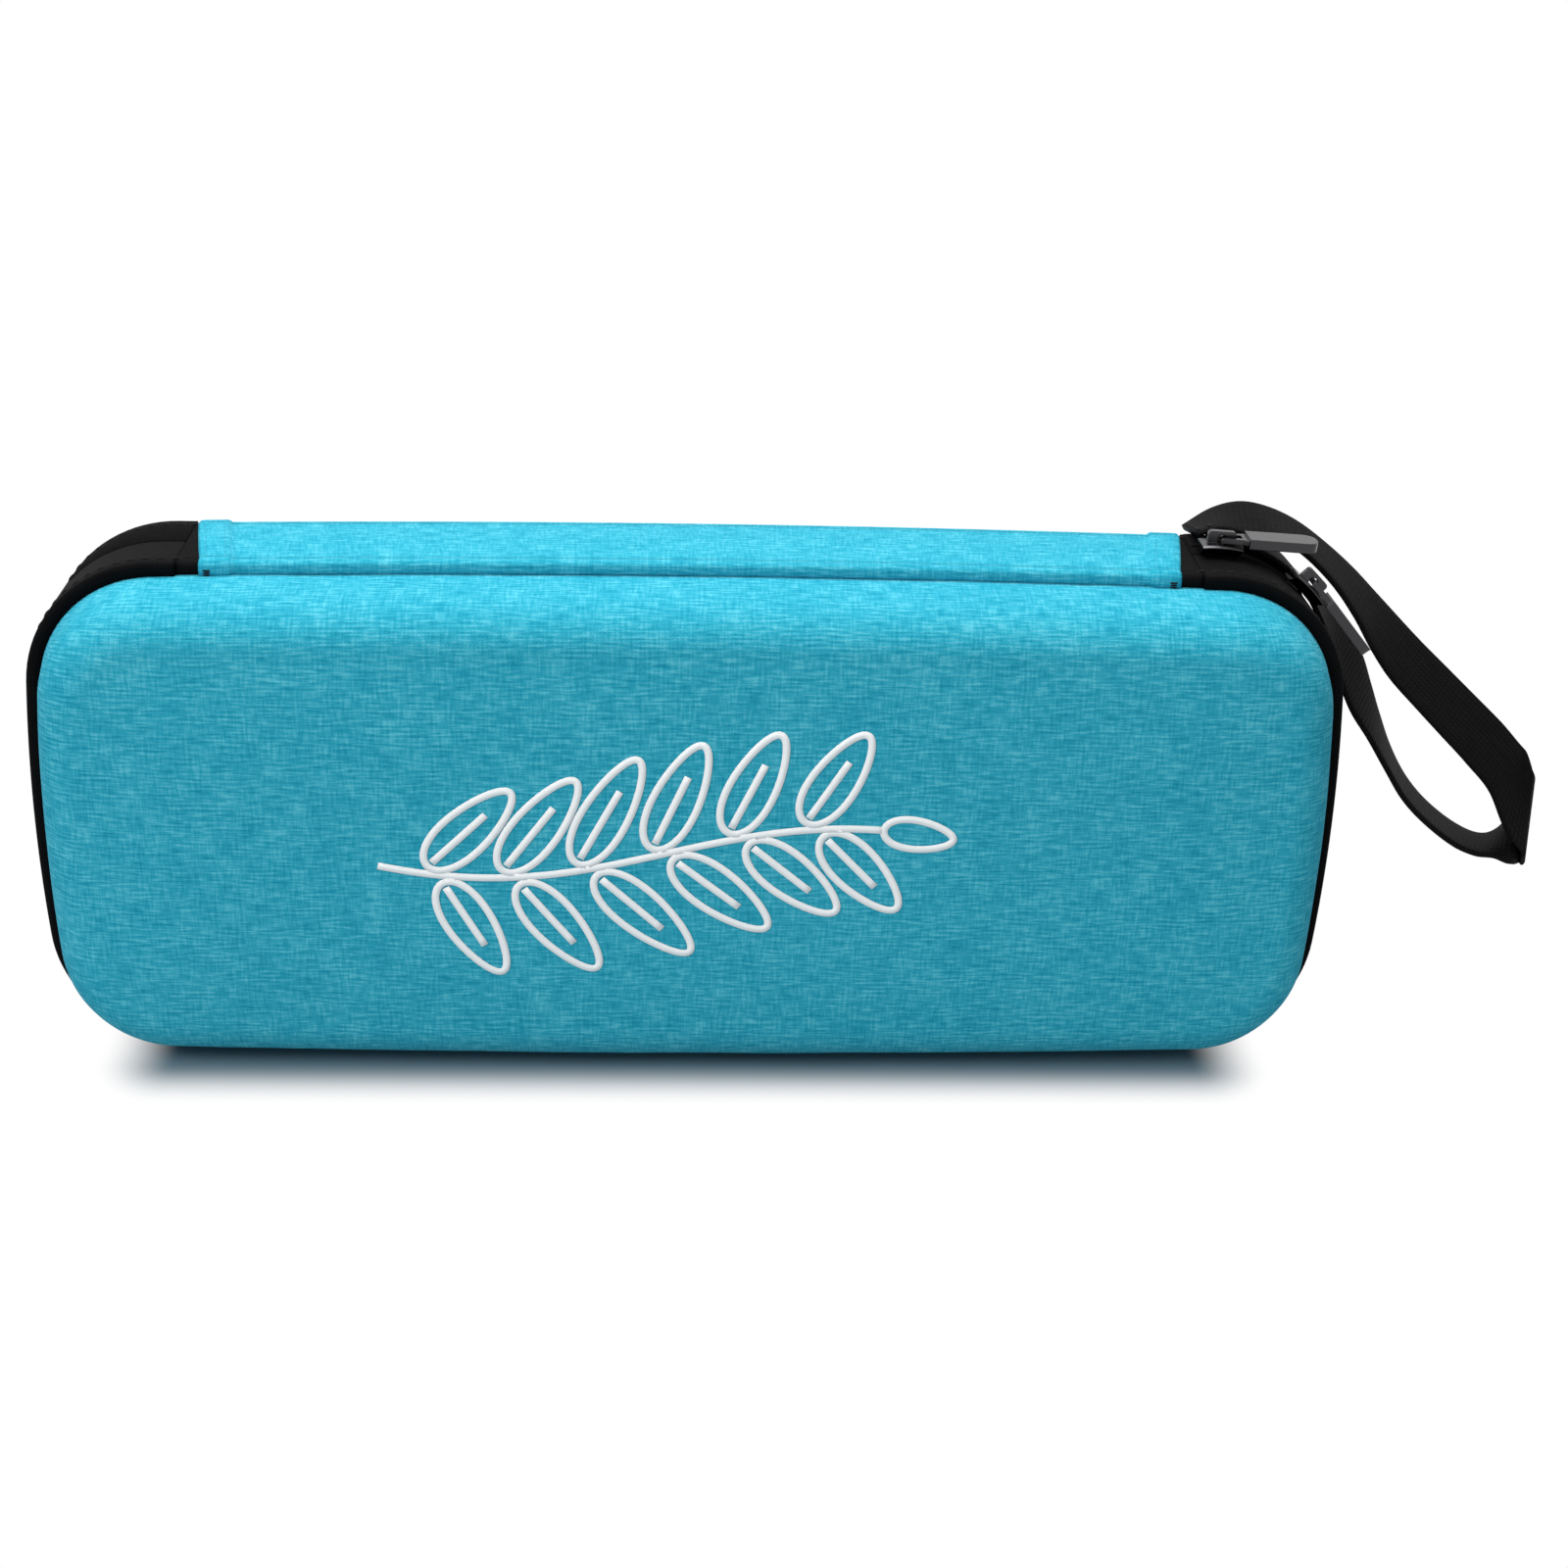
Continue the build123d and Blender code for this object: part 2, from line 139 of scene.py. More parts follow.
def plus(tree, a, b):
    """Sum of two sockets or numbers."""
    return math(tree, "ADD", a, b)


def vector_math(tree, operation, a, b=(0, 0, 0)):
    """Result of an operation on two vectors."""
    return first(tree, "ShaderNodeVectorMath", {0: a, 1: b}, operation=operation)


def beyond_box(tree, place, half):
    """How far a place lies outside a box about the origin, which half gives by its half sizes."""
    over = vector_math(tree, "SUBTRACT", vector_math(tree, "ABSOLUTE", place), half)
    over = vector_math(tree, "MAXIMUM", over)
    return add(tree, "ShaderNodeVectorMath", {0: over}, operation="LENGTH").outputs["Value"]


def paint(code):
    """Linear colour of an sRGB hex code."""
    channels = [int(code[i:i + 2], 16) / 255 for i in (1, 3, 5)]
    return [c / 12.92 if c <= 0.04045 else ((c + 0.055) / 1.055) ** 2.4 for c in channels] + [1.0]


# ---- materials
def start_material(name):
    """Empty node material."""
    made = bpy.data.materials.new(name)
    made.use_nodes = True
    made.node_tree.nodes.clear()
    return made, made.node_tree


def end_material(tree, **inputs):
    """Principled surface with these inputs, as the material's output."""
    named = {name.replace("_", " "): value for name, value in inputs.items()}
    add(tree, "ShaderNodeOutputMaterial", {"Surface": first(tree, "ShaderNodeBsdfPrincipled", named)})


def threads(tree, cloth, along, across, detail=2.0, roughness=0.6):
    """Noise drawn out along one thread direction; sizes in millimetres."""
    scale = (1 / (along * MM), 1 / (across * MM), 1.0)
    stretched = first(tree, "ShaderNodeMapping", {"Vector": cloth, "Scale": scale})
    inputs = {"Vector": stretched, "Scale": 1.0, "Detail": detail, "Roughness": roughness}
    return first(tree, "ShaderNodeTexNoise", inputs)


def ribs(tree, cloth, spacing, direction):
    """Even ribs of one spacing in millimetres, 0 to 1; the wave has ten turns in every pi."""
    inputs = {"Vector": cloth, "Scale": pi / (10 * spacing * MM)}
    return add(tree, "ShaderNodeTexWave", inputs, bands_direction=direction).outputs["Fac"]


def bump(tree, height, depth):
    """Surface relief, depth in millimetres."""
    return first(tree, "ShaderNodeBump", {"Height": height, "Distance": depth * MM})


def ramp(tree, factor, stops):
    """Colours along a factor."""
    made = add(tree, "ShaderNodeValToRGB", {"Fac": factor})
    elements = made.color_ramp.elements
    elements[0].position, elements[0].color = stops[0][0], paint(stops[0][1])
    elements[1].position, elements[1].color = stops[-1][0], paint(stops[-1][1])
    for place, code in stops[1:-1]:
        elements.new(place).color = paint(code)
    return made.outputs["Color"]


def mixed(tree, share, a, b):
    """Colour that goes from a to b as the share goes from 0 to 1."""
    return add(tree, "ShaderNodeMix", {0: share, 6: a, 7: b}, data_type="RGBA").outputs[2]


def heathered_polyester():
    """Plain-woven polyester of mixed teal yarns, pressed over foam: matte, with a faint sheen and
    short paler and deeper dashes along both threads."""
    made, tree = start_material("heathered_polyester")
    cloth = first(tree, "ShaderNodeUVMap", uv_map="cloth")
    weft = times(tree, threads(tree, cloth, 5.0, 0.55), 0.55)
    warp = times(tree, threads(tree, cloth, 0.6, 4.0), 0.3)
    clouds = times(tree, threads(tree, cloth, 14.0, 9.0, 3.0), 0.15)
    yarns = plus(tree, weft, warp)
    colour = ramp(tree, plus(tree, yarns, clouds), [(0.37, "#1d92ad"), (0.5, "#33a8c1"), (0.63, "#5ec3d6")])
    slub = threads(tree, cloth, 1.6, 0.5, 1.0)
    pale = ramp(tree, slub, [(0.7, "#000000"), (0.78, "#505050")])
    flecked = mixed(tree, pale, colour, paint("#9fe3ee"))
    weave = times(tree, ribs(tree, cloth, 1.0, "X"), ribs(tree, cloth, 1.0, "Y"))
    relief = plus(tree, times(tree, weave, 0.5), times(tree, yarns, 0.9))
    end_material(tree, Base_Color=flecked, Roughness=0.85, Specular_IOR_Level=0.04,
                 Sheen_Weight=0.03, Sheen_Roughness=0.4, Normal=bump(tree, relief, 0.12))
    return made


def black_weave(name, colour, across, along, depth, rough=0.75):
    """Woven black tape or webbing: ribs across it, cords along it, and a dull painted highlight on their
    tops, where the colour is made paler.
    """
    made, tree = start_material(name)
    cloth = first(tree, "ShaderNodeUVMap", uv_map="cloth")
    height = times(tree, ribs(tree, cloth, across, "X"), ribs(tree, cloth, along, "Y"))
    worn = threads(tree, cloth, 6.0, 1.5)
    # Painted highlight: the colour is paler where the ribs stand highest, over random streaks along the yarn.
    tone = plus(tree, times(tree, height, 0.3), times(tree, worn, 0.7))
    shade = ramp(tree, tone, [(0.2, "#0a0a0b"), (0.8, colour)])
    end_material(tree, Base_Color=shade, Roughness=rough, Specular_IOR_Level=0.03,
                 Normal=bump(tree, height, depth))
    return made


def gunmetal():
    """Zinc die casting with a dark nickel plate: a clear dark mirror, softened by handling."""
    made, tree = start_material("gunmetal_plate")
    place = add(tree, "ShaderNodeTexCoord").outputs["Object"]
    grain = first(tree, "ShaderNodeTexNoise", {"Vector": place, "Scale": 900.0, "Detail": 3.0})
    polish = first(tree, "ShaderNodeMapRange", {"Value": grain, "To Min": 0.14, "To Max": 0.3})
    soft_edge = first(tree, "ShaderNodeBevel", {"Radius": 0.25 * MM}, samples=6)
    end_material(tree, Base_Color=paint("#404042"), Metallic=1.0, Roughness=polish, Normal=soft_edge)
    return made


def plain(name, deep, pale, grain, rough, depth=0.05, sheen=0.0, shine=0.05):
    """Material of one colour with a fine grain, in millimetres, that its name tells."""
    made, tree = start_material(name)
    place = add(tree, "ShaderNodeTexCoord").outputs["Object"]
    speckle = first(tree, "ShaderNodeTexNoise", {"Vector": place, "Scale": 1 / (grain * MM), "Detail": 4.0})
    colour = ramp(tree, speckle, [(0.3, deep), (0.7, pale)])
    end_material(tree, Base_Color=colour, Roughness=rough, Sheen_Weight=sheen, Specular_IOR_Level=shine,
                 Normal=bump(tree, speckle, depth))
    return made


TEAL = heathered_polyester()
# Zip tape: fine even weave, so a deep dull black.
ZIP_TAPE = black_weave("zip_tape_polyester", "#121213", 0.9, 0.9, 0.06)
# Webbing: coarse ribs, their tops painted a little paler as a painted highlight.
WEBBING = black_weave("nylon_webbing", "#151516", 1.3, 1.1, 0.12, 0.6)
# Grosgrain: close ribs across the tape, like a fine ladder.
BINDING = black_weave("grosgrain_binding", "#1d1d1e", 0.8, 6.0, 0.1)
# Elastic: deep knitted ribs, a shade paler than the tapes.
ELASTIC = black_weave("knitted_elastic", "#232324", 1.2, 1.6, 0.25)
GUNMETAL = gunmetal()
# Pressed EVA foam: closed cells give a dull, finely pitted black.
FOAM = plain("eva_foam", "#0c0c0d", "#151516", 0.5, 0.9)
# Brushed tricot: short raised fibres give a soft, dry grey-black.
TRICOT = plain("brushed_tricot", "#2f3237", "#43474d", 0.7, 0.95, 0.1, 0.25)
# Nylon monofilament: smooth, with a plastic gloss.
NYLON = plain("nylon_coil", "#101011", "#19191a", 1.5, 0.35, 0.01, shine=0.3)
# Knitted nylon net: matte fine yarn, so the holes read more than the yarn.
NET = plain("nylon_net", "#161617", "#222224", 0.6, 0.7)
# Polyester sewing thread, in the tape's black and the cover's teal: matte, and a little paler than
# the tape, so that the rows of stitches show.
BLACK_THREAD = plain("black_thread", "#151516", "#262628", 0.4, 0.6)
TEAL_THREAD = plain("teal_thread", "#2f9db6", "#48b4cb", 0.4, 0.6)
# Heat-pressed vinyl transfer: even white with a satin face.
TRANSFER = plain("vinyl_transfer", "#f7fbfc", "#ffffff", 2.0, 0.5, 0.01)


# ---- mesh helpers
def show(name, data):
    """Object of this data, in the scene."""
    made = bpy.data.objects.new(name, data)
    scene.collection.objects.link(made)
    return made


def merge(mesh):
    """Close the seams of a lofted mesh and shade it smooth."""
    work = bmesh.new()
    work.from_mesh(mesh)
    bmesh.ops.remove_doubles(work, verts=work.verts, dist=0.005 * MM)
    work.to_mesh(mesh)
    work.free()
    mesh.shade_smooth()


def loft(name, rings, cloth, turn=False, caps=False):
    """Object with a skin through rings of points; cloth gives each point's place on flat cloth."""
    count = len(rings[0])
    faces = []
    for row in range(len(rings) - 1):
        for col in range(count - 1):
            a = row * count + col
            faces.append((a, a + 1, a + 1 + count, a + count))
    if caps:
        last = (len(rings) - 1) * count
        faces.append(tuple(reversed(range(count - 1))))
        faces.append(tuple(range(last, last + count - 1)))
    if turn:
        faces = [tuple(reversed(face)) for face in faces]
    mesh = bpy.data.meshes.new(name)
    mesh.from_pydata([point * MM for ring in rings for point in ring], [], faces)
    layer = mesh.uv_layers.new(name="cloth")
    flat = [Vector(place) * MM for row in cloth for place in row]
    for loop in mesh.loops:
        layer.data[loop.index].uv = flat[loop.vertex_index]
    merge(mesh)
    return show(name, mesh)


def thicken(piece, thickness, backing=None):
    """Give a skin its wall, inwards from the face that shows, with another cloth as its back."""
    wall = piece.modifiers.new("wall", "SOLIDIFY")
    wall.thickness = thickness * MM
    wall.offset = -1
    if backing:
        piece.data.materials.append(backing)
        wall.material_offset = 1
        wall.material_offset_rim = 1
    return piece


def dress(piece, material, body, slot, *nodes):
    """Finish a piece: its material, the body it moves with, and the nodes it stands for, which it hides; a
    piece on a bend between two bodies is only baked where it stands.  A bend is two bodies, and where it
    starts and ends.  The slot is not used."""
    if not piece.data.materials:
        piece.data.materials.append(material)
    if isinstance(body, str):
        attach(piece, body)
    else:
        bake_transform(piece)
    if nodes:
        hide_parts(*nodes)
    return piece


def paint_node(node, material):
    """Give a CAD node that stays in view its material."""
    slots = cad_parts[node].data.materials
    slots.clear()
    slots.append(material)


def distances(points):
    """How far along a line of points each of them lies."""
    found = [0.0]
    for before, after in zip(points, points[1:]):
        found.append(found[-1] + (after - before).length)
    return found


# ---- the case's outline
def quarter_outline(side_steps=36, corner_steps=22, end_steps=10):
    """From the top's middle to the right end's middle: x, z above the middle, outward x and z."""
    stations = [(corner_x * i / side_steps, mid_z, 0.0, 1.0) for i in range(side_steps)]
    for i in range(corner_steps):
        turn = pi / 2 + (corner_end - pi / 2) * i / corner_steps
        place = (corner_x + corner_radius * cos(turn), corner_z + corner_radius * sin(turn))
        stations.append((*place, cos(turn), sin(turn)))
    for i in range(end_steps + 1):
        turn = corner_end * (1 - i / end_steps)
        place = (end_centre_x + end_radius * cos(turn), end_radius * sin(turn))
        stations.append((*place, cos(turn), sin(turn)))
    return stations


def whole_outline():
    """The band's outer edge, clockwise from the top's middle and closed by its first station."""
    top_right = quarter_outline()
    low_right = [(x, -z, nx, -nz) for x, z, nx, nz in reversed(top_right[:-1])]
    right = top_right + low_right
    left = [(-x, z, -nx, nz) for x, z, nx, nz in reversed(right[:-1])]
    return right + left


OUTLINE = whole_outline()
ZIP_RUN = [(notch_half, mid_z, 0.0, 1.0)]
ZIP_RUN += [s for s in OUTLINE if not (s[1] == mid_z and abs(s[0]) <= notch_half)]
ZIP_RUN += [(-notch_half, mid_z, 0.0, 1.0)]


def belly(x, nz):
    """How far fabric bellies up or down along the long sides."""
    return side_bow * max(0.0, 1 - (x / corner_x) ** 2) * nz


# ---- moulded covers and linings
def dome_profile(layer, steps):
    """Half shell's skin, layer inside the cover: (inset, y, length from the face's edge)."""
    roll = face_roll - layer
    centre_y = face_y - face_roll
    centre_inset = shell_step + (centre_y - rim_y) * tan(wall_draft) + face_roll / cos(wall_draft)
    roll_length = roll * (pi / 2 - wall_draft)
    wall_end = (centre_inset - roll * cos(wall_draft), centre_y + roll * sin(wall_draft))
    rim = (shell_step + layer / cos(wall_draft), rim_y)
    wall_length = hypot(wall_end[0] - rim[0], wall_end[1] - rim[1])
    profile = []
    for i in range(steps):
        share = i / steps
        inset = rim[0] + (wall_end[0] - rim[0]) * share
        y = rim[1] + (wall_end[1] - rim[1]) * share
        profile.append((inset, y, roll_length + wall_length * (1 - share)))
    for i in range(2 * steps + 1):
        turn = wall_draft + (pi / 2 - wall_draft) * i / (2 * steps)
        inset = centre_inset - roll * cos(turn)
        profile.append((inset, centre_y + roll * sin(turn), roll * (pi / 2 - turn)))
    return profile


def crown_at(share):
    """Swell of the face, share of the way from its edge to its middle line; most of it near the edge."""
    return 1 - (1 - share) ** 3


def moulded_skin(name, side, layer, swell, steps=5, face_steps=16):
    """Skin of one half shell: wall, roll and face.  Swell is the share of the cover's bellies it has."""
    rings, cloth = [], []
    profile = dome_profile(layer, steps)
    edge_inset = profile[-1][0]
    for inset, y, length in profile:
        ring, flat = [], []
        for x, z, nx, nz in OUTLINE:
            lift = belly(x, nz) * swell
            ring.append(Vector((x - nx * inset, side * y, mid_z + z - nz * inset + lift)))
            reach = edge_inset - length
            flat.append((x - nx * reach, z - nz * reach))
        rings.append(ring)
        cloth.append(flat)
    rim_ring = rings[-1]
    for i in range(1, face_steps + 1):
        share = i / face_steps
        ring = []
        for point in rim_ring:
            middle = Vector((max(-medial_half, min(medial_half, point.x)), point.y, mid_z))
            moved = point.lerp(middle, share)
            moved.y += side * face_crown * swell * crown_at(share)
            ring.append(moved)
        rings.append(ring)
        cloth.append([(p.x, p.z - mid_z) for p in ring])
    skin = loft(name, rings, cloth, turn=(side == FRONT))
    # Broad waves of the pressed cloth, with finer ones on them.
    for vertex in skin.data.vertices:
        wobble = noise.noise(vertex.co / (22 * MM)) * 0.12 + noise.noise(vertex.co / (7 * MM)) * 0.04
        vertex.co += vertex.normal * wobble * MM
    return skin


def shell_fabrics(side, name):
    """Cover outside and lining inside one half shell, with the foam between them."""
    shell = name + "_shell"
    cover = thicken(moulded_skin(name + "_cover_cloth", side, 0.0, 1.0), cover_thickness)
    dress(cover, TEAL, shell, "teal_polyester", shell + "_cover")
    lining = moulded_skin(name + "_lining_cloth", side, cover_thickness + core_thickness + lining_slack, 0.0)
    dress(thicken(lining, lining_thickness), TRICOT, shell, "lining_fabric", shell + "_lining")
    paint_node(shell + "_core", FOAM)


# ---- geometry trees
def start_tree(name, sizes):
    """Geometry tree that takes a path, a finish and the named sizes."""
    tree = bpy.data.node_groups.new(name, "GeometryNodeTree")
    tree.interface.new_socket("Geometry", in_out="OUTPUT", socket_type="NodeSocketGeometry")
    tree.interface.new_socket("Path", in_out="INPUT", socket_type="NodeSocketGeometry")
    tree.interface.new_socket("Finish", in_out="INPUT", socket_type="NodeSocketMaterial")
    for size in sizes:
        tree.interface.new_socket(size, in_out="INPUT", socket_type="NodeSocketFloat")
    return tree, tree.nodes.new("NodeGroupInput").outputs


def end_tree(tree, geometry, finish):
    """Real, smooth and painted geometry as the tree's result."""
    smooth = first(tree, "GeometryNodeSetShadeSmooth", {"Geometry": geometry})
    real = first(tree, "GeometryNodeRealizeInstances", {"Geometry": smooth})
    painted = first(tree, "GeometryNodeSetMaterial", {"Geometry": real, "Material": finish})
    add(tree, "NodeGroupOutput", {"Geometry": painted})
    return tree


def upward(tree):
    """The path's own outward direction, kept on its points."""
    kept = add(tree, "GeometryNodeInputNamedAttribute", {"Name": "up"}, data_type="FLOAT_VECTOR")
    return kept.outputs["Attribute"]


def vector(tree, x=0.0, y=0.0, z=0.0):
    """A vector from sockets or numbers."""
    return first(tree, "ShaderNodeCombineXYZ", {0: x, 1: y, 2: z})


def grow(name, tree, run, material, shares=None, **sizes):
    """Run a tree along a run of points and outward directions, and keep the result as a plain mesh.
    Sizes are in millimetres, and shares are plain numbers."""
    points, ups = run
    mesh = bpy.data.meshes.new(name + "_path")
    edges = [(i, i + 1) for i in range(len(points) - 1)]
    mesh.from_pydata([point * MM for point in points], edges, [])
    outward = mesh.attributes.new("up", "FLOAT_VECTOR", "POINT")
    outward.data.foreach_set("vector", [value for up in ups for value in up])
    carrier = show(name + "_path", mesh)
    modifier = carrier.modifiers.new("grow", "NODES")
    modifier.node_group = tree
    given = {label: size * MM for label, size in sizes.items()}
    given.update(shares or {})
    given["Finish"] = material
    for item in tree.interface.items_tree:
        if item.name in given:
            modifier[item.identifier] = given[item.name]
    evaluated = carrier.evaluated_get(bpy.context.evaluated_depsgraph_get())
    result = bpy.data.meshes.new_from_object(evaluated)
    bpy.data.objects.remove(carrier)
    result.name = name
    return show(name, result)


def with_length(tree, curve):
    """The curve with the length along it kept on its points, and that length."""
    kept = add(tree, "GeometryNodeCaptureAttribute", {"Geometry": curve})
    kept.capture_items.new("FLOAT", "Length")
    tree.links.new(add(tree, "GeometryNodeSplineParameter").outputs["Length"], kept.inputs["Length"])
    return kept.outputs[0], kept.outputs["Length"]


def swept_tape_tree():
    """Zip tape: a folded section of three points, swept along the band.  Side is 1 or -1 for the half."""
    tree, size = start_tree("folded_tape", ["Gap", "Depth", "Lip", "Fold radius", "Side"])
    path, along = with_length(tree, first(tree, "GeometryNodeMeshToCurve", {"Mesh": size["Path"]}))
    square = first(tree, "GeometryNodeSetCurveNormal", {"Curve": path, "Normal": upward(tree)}, mode="FREE")
    near = times(tree, size["Gap"], size["Side"])
    far = times(tree, size["Depth"], size["Side"])
    drop = times(tree, size["Lip"], -1.0)
    corners = add(tree, "GeometryNodeIndexSwitch", data_type="VECTOR")
    corners.index_switch_items.new()
    tree.links.new(first(tree, "GeometryNodeInputIndex"), corners.inputs["Index"])
    for place, point in enumerate([vector(tree, 0.0, near), vector(tree, 0.0, far), vector(tree, drop, far)]):
        tree.links.new(point, corners.inputs[str(place)])
    flat_line = first(tree, "GeometryNodeMeshLine", {"Count": 3})
    bent = first(tree, "GeometryNodeSetPosition", {"Geometry": flat_line, "Position": corners.outputs[0]})
    line = first(tree, "GeometryNodeMeshToCurve", {"Mesh": bent})
    folded = first(tree, "GeometryNodeFilletCurve",
                   {"Curve": line, "Radius": size["Fold radius"], "Count": 4}, mode="POLY")
    section, across = with_length(tree, folded)
    swept = first(tree, "GeometryNodeCurveToMesh", {"Curve": square, "Profile Curve": section})
    flat = vector(tree, along, across)
    mapped = add(tree, "GeometryNodeStoreNamedAttribute", {"Geometry": swept, "Name": "cloth"},
                 data_type="FLOAT2", domain="CORNER")
    tree.links.new(flat, mapped.inputs["Value"])
    return end_tree(tree, mapped.outputs[0], size["Finish"])


def round_wire(tree, line, radius, sides):
    """Round wire along a curve, with closed ends."""
    wire = first(tree, "GeometryNodeCurvePrimitiveCircle", {"Resolution": sides, "Radius": radius})
    return first(tree, "GeometryNodeCurveToMesh", {"Curve": line, "Profile Curve": wire, "Fill Caps": True})


def row_of(tree, size, piece, primary, secondary):
    """The piece at every pitch along the path: its primary axis lies along the path, and its
    secondary axis points outwards."""
    path = first(tree, "GeometryNodeMeshToCurve", {"Mesh": size["Path"]})
    places = first(tree, "GeometryNodeResampleCurve", {"Curve": path, "Length": size["Pitch"]}, mode="LENGTH")
    tangent = first(tree, "GeometryNodeInputTangent")
    lie = first(tree, "FunctionNodeAxesToRotation", {0: tangent, 1: upward(tree)},
                primary_axis=primary, secondary_axis=secondary)
    row = first(tree, "GeometryNodeInstanceOnPoints", {"Points": places, "Instance": piece, "Rotation": lie})
    return end_tree(tree, row, size["Finish"])


def coil_tree():
    """Zip coil: one turn of monofilament, repeated along the tape's edge."""
    tree, size = start_tree("coil", ["Pitch", "Width", "Height", "Wire"])
    spiral = first(tree, "GeometryNodeCurveSpiral",
                   {"Resolution": 9, "Rotations": 1.0, "Start Radius": 1.0, "End Radius": 1.0,
                    "Height": size["Pitch"]})
    half_width = times(tree, size["Width"], 0.5)
    half_height = times(tree, size["Height"], 0.5)
    pressed = first(tree, "GeometryNodeTransform",
                    {"Geometry": spiral, "Scale": vector(tree, half_width, half_height, 1.0)})
    return row_of(tree, size, round_wire(tree, pressed, size["Wire"], 5), "Z", "Y")


def stitch_tree():
    """Row of stitches: short arched threads whose ends dive into the cloth.  Lean turns each of them
    about the outward direction."""
    tree, size = start_tree("stitches", ["Pitch", "Length", "Thread", "Lean"])
    half = times(tree, size["Length"], 0.5)
    back = times(tree, size["Length"], -0.5)
    low = times(tree, size["Thread"], -0.6)
    arch = first(tree, "GeometryNodeCurveQuadraticBezier",
                 {"Resolution": 5, "Start": vector(tree, back, 0.0, low),
                  "Middle": vector(tree, 0.0, 0.0, size["Thread"]), "End": vector(tree, half, 0.0, low)})
    stitch = round_wire(tree, arch, times(tree, size["Thread"], 0.5), 6)
    leaning = first(tree, "GeometryNodeTransform",
                    {"Geometry": stitch, "Rotation": vector(tree, 0.0, 0.0, size["Lean"])})
    return row_of(tree, size, leaning, "X", "Z")


def net_tree():
    """Knitted net: a panel of hexagons with a hole in each, cut to a shape with round corners."""
    tree, size = start_tree("net", ["Length", "Height", "Corner", "Mesh size", "Hole"])
    row_step = times(tree, size["Mesh size"], sqrt(3) / 2)
    columns = plus(tree, math(tree, "DIVIDE", size["Length"], size["Mesh size"]), 2.0)
    rows = math(tree, "FLOOR", plus(tree, math(tree, "DIVIDE", size["Height"], row_step), 2.0), 0.0)
    grid = first(tree, "GeometryNodeMeshGrid",
                 {"Size X": size["Length"], "Size Y": size["Height"],
                  "Vertices X": columns, "Vertices Y": rows})
    odd = math(tree, "MODULO", math(tree, "MODULO", first(tree, "GeometryNodeInputIndex"), rows), 2.0)
    half_step = times(tree, times(tree, size["Mesh size"], 0.5), odd)
    staggered = first(tree, "GeometryNodeSetPosition", {"Geometry": grid, "Offset": vector(tree, half_step)})
    triangles = first(tree, "GeometryNodeTriangulate", {"Mesh": staggered})
    cells = first(tree, "GeometryNodeDualMesh", {"Mesh": triangles})
    half = vector_math(tree, "MULTIPLY", vector(tree, size["Length"], size["Height"]), (0.5, 0.5, 0.5))
    core = vector_math(tree, "SUBTRACT", half, vector(tree, size["Corner"], size["Corner"]))
    reach = beyond_box(tree, first(tree, "GeometryNodeInputPosition"), core)
    outside = first(tree, "FunctionNodeCompare", {0: reach, 1: size["Corner"]}, operation="GREATER_THAN")
    cut = first(tree, "GeometryNodeDeleteGeometry", {"Geometry": cells, "Selection": outside}, domain="FACE")
    ringed = add(tree, "GeometryNodeExtrudeMesh",
                 {"Mesh": cut, "Offset Scale": 0.0, "Individual": True}).outputs
    top = ringed["Top"]
    holes = first(tree, "GeometryNodeScaleElements",
                  {"Geometry": ringed[0], "Selection": top, "Scale": size["Hole"]})
    net = first(tree, "GeometryNodeDeleteGeometry", {"Geometry": holes, "Selection": top}, domain="FACE")
    upright = first(tree, "GeometryNodeTransform", {"Geometry": net, "Rotation": (pi / 2, 0, 0)})
    return end_tree(tree, upright, size["Finish"])


TAPE_TREE = swept_tape_tree()
COIL_TREE = coil_tree()
STITCH_TREE = stitch_tree()
NET_TREE = net_tree()


# ---- zip
def moved_in(station, inset, y):
    """Point at a station of the outline, moved in by inset and over to y."""
    x, z, nx, nz = station
    return Vector((x - nx * inset, y, mid_z + z - nz * inset))


def run_points(run, inset, y, up=None):
    """Points and outward directions along the outline, moved in by inset and over by y."""
    points = [moved_in(station, inset, y) for station in run]
    return points, [up or (nx, 0.0, nz) for *_, nx, nz in run]


def strip_along(name, run, section, turn, thickness):
    """Strip of cloth along the outline; its section goes across as (inset, y)."""
    across = distances([Vector((inset, y, 0)) for inset, y in section])
    along = distances(run_points(run, 0.0, 0.0)[0])
    rings = [[moved_in(station, inset, y) for inset, y in section] for station in run]
    cloth = [[(length, v) for v in across] for length in along]
    return thicken(loft(name, rings, cloth, turn=turn), thickness)


# Kinds of stitch: from one to the next, how long each is, and how thick its thread.
TAPE_STITCH = (3.2, 2.5, 0.4)
BINDING_STITCH = (3.0, 2.4, 0.35)
HEM_STITCH = (2.6, 2.1, 0.35)
SPINE_TACK = (0.42, 1.8, 0.4)
STRAP_TACK = (0.55, 1.6, 0.4)


def sew(name, run, stitch, thread, body, slot, lean=0.0):
    """Row of one kind of stitch along a run of points and outward directions."""
    pitch, length, thickness = stitch
    seam = grow(name, STITCH_TREE, run, thread, {"Lean": lean},
                Pitch=pitch, Length=length, Thread=thickness)
    dress(seam, thread, body, slot)


coil_height = 2.0
coil_pitch = 1.5
coil_wire = 0.35           # radius of its monofilament
tape_fold_radius = 0.9
tape_seam_gap = 3.2        # from the flange's edge to the row that sews the tape down
rim_seam_inset = 4.6
rim_tape_thickness = 0.45


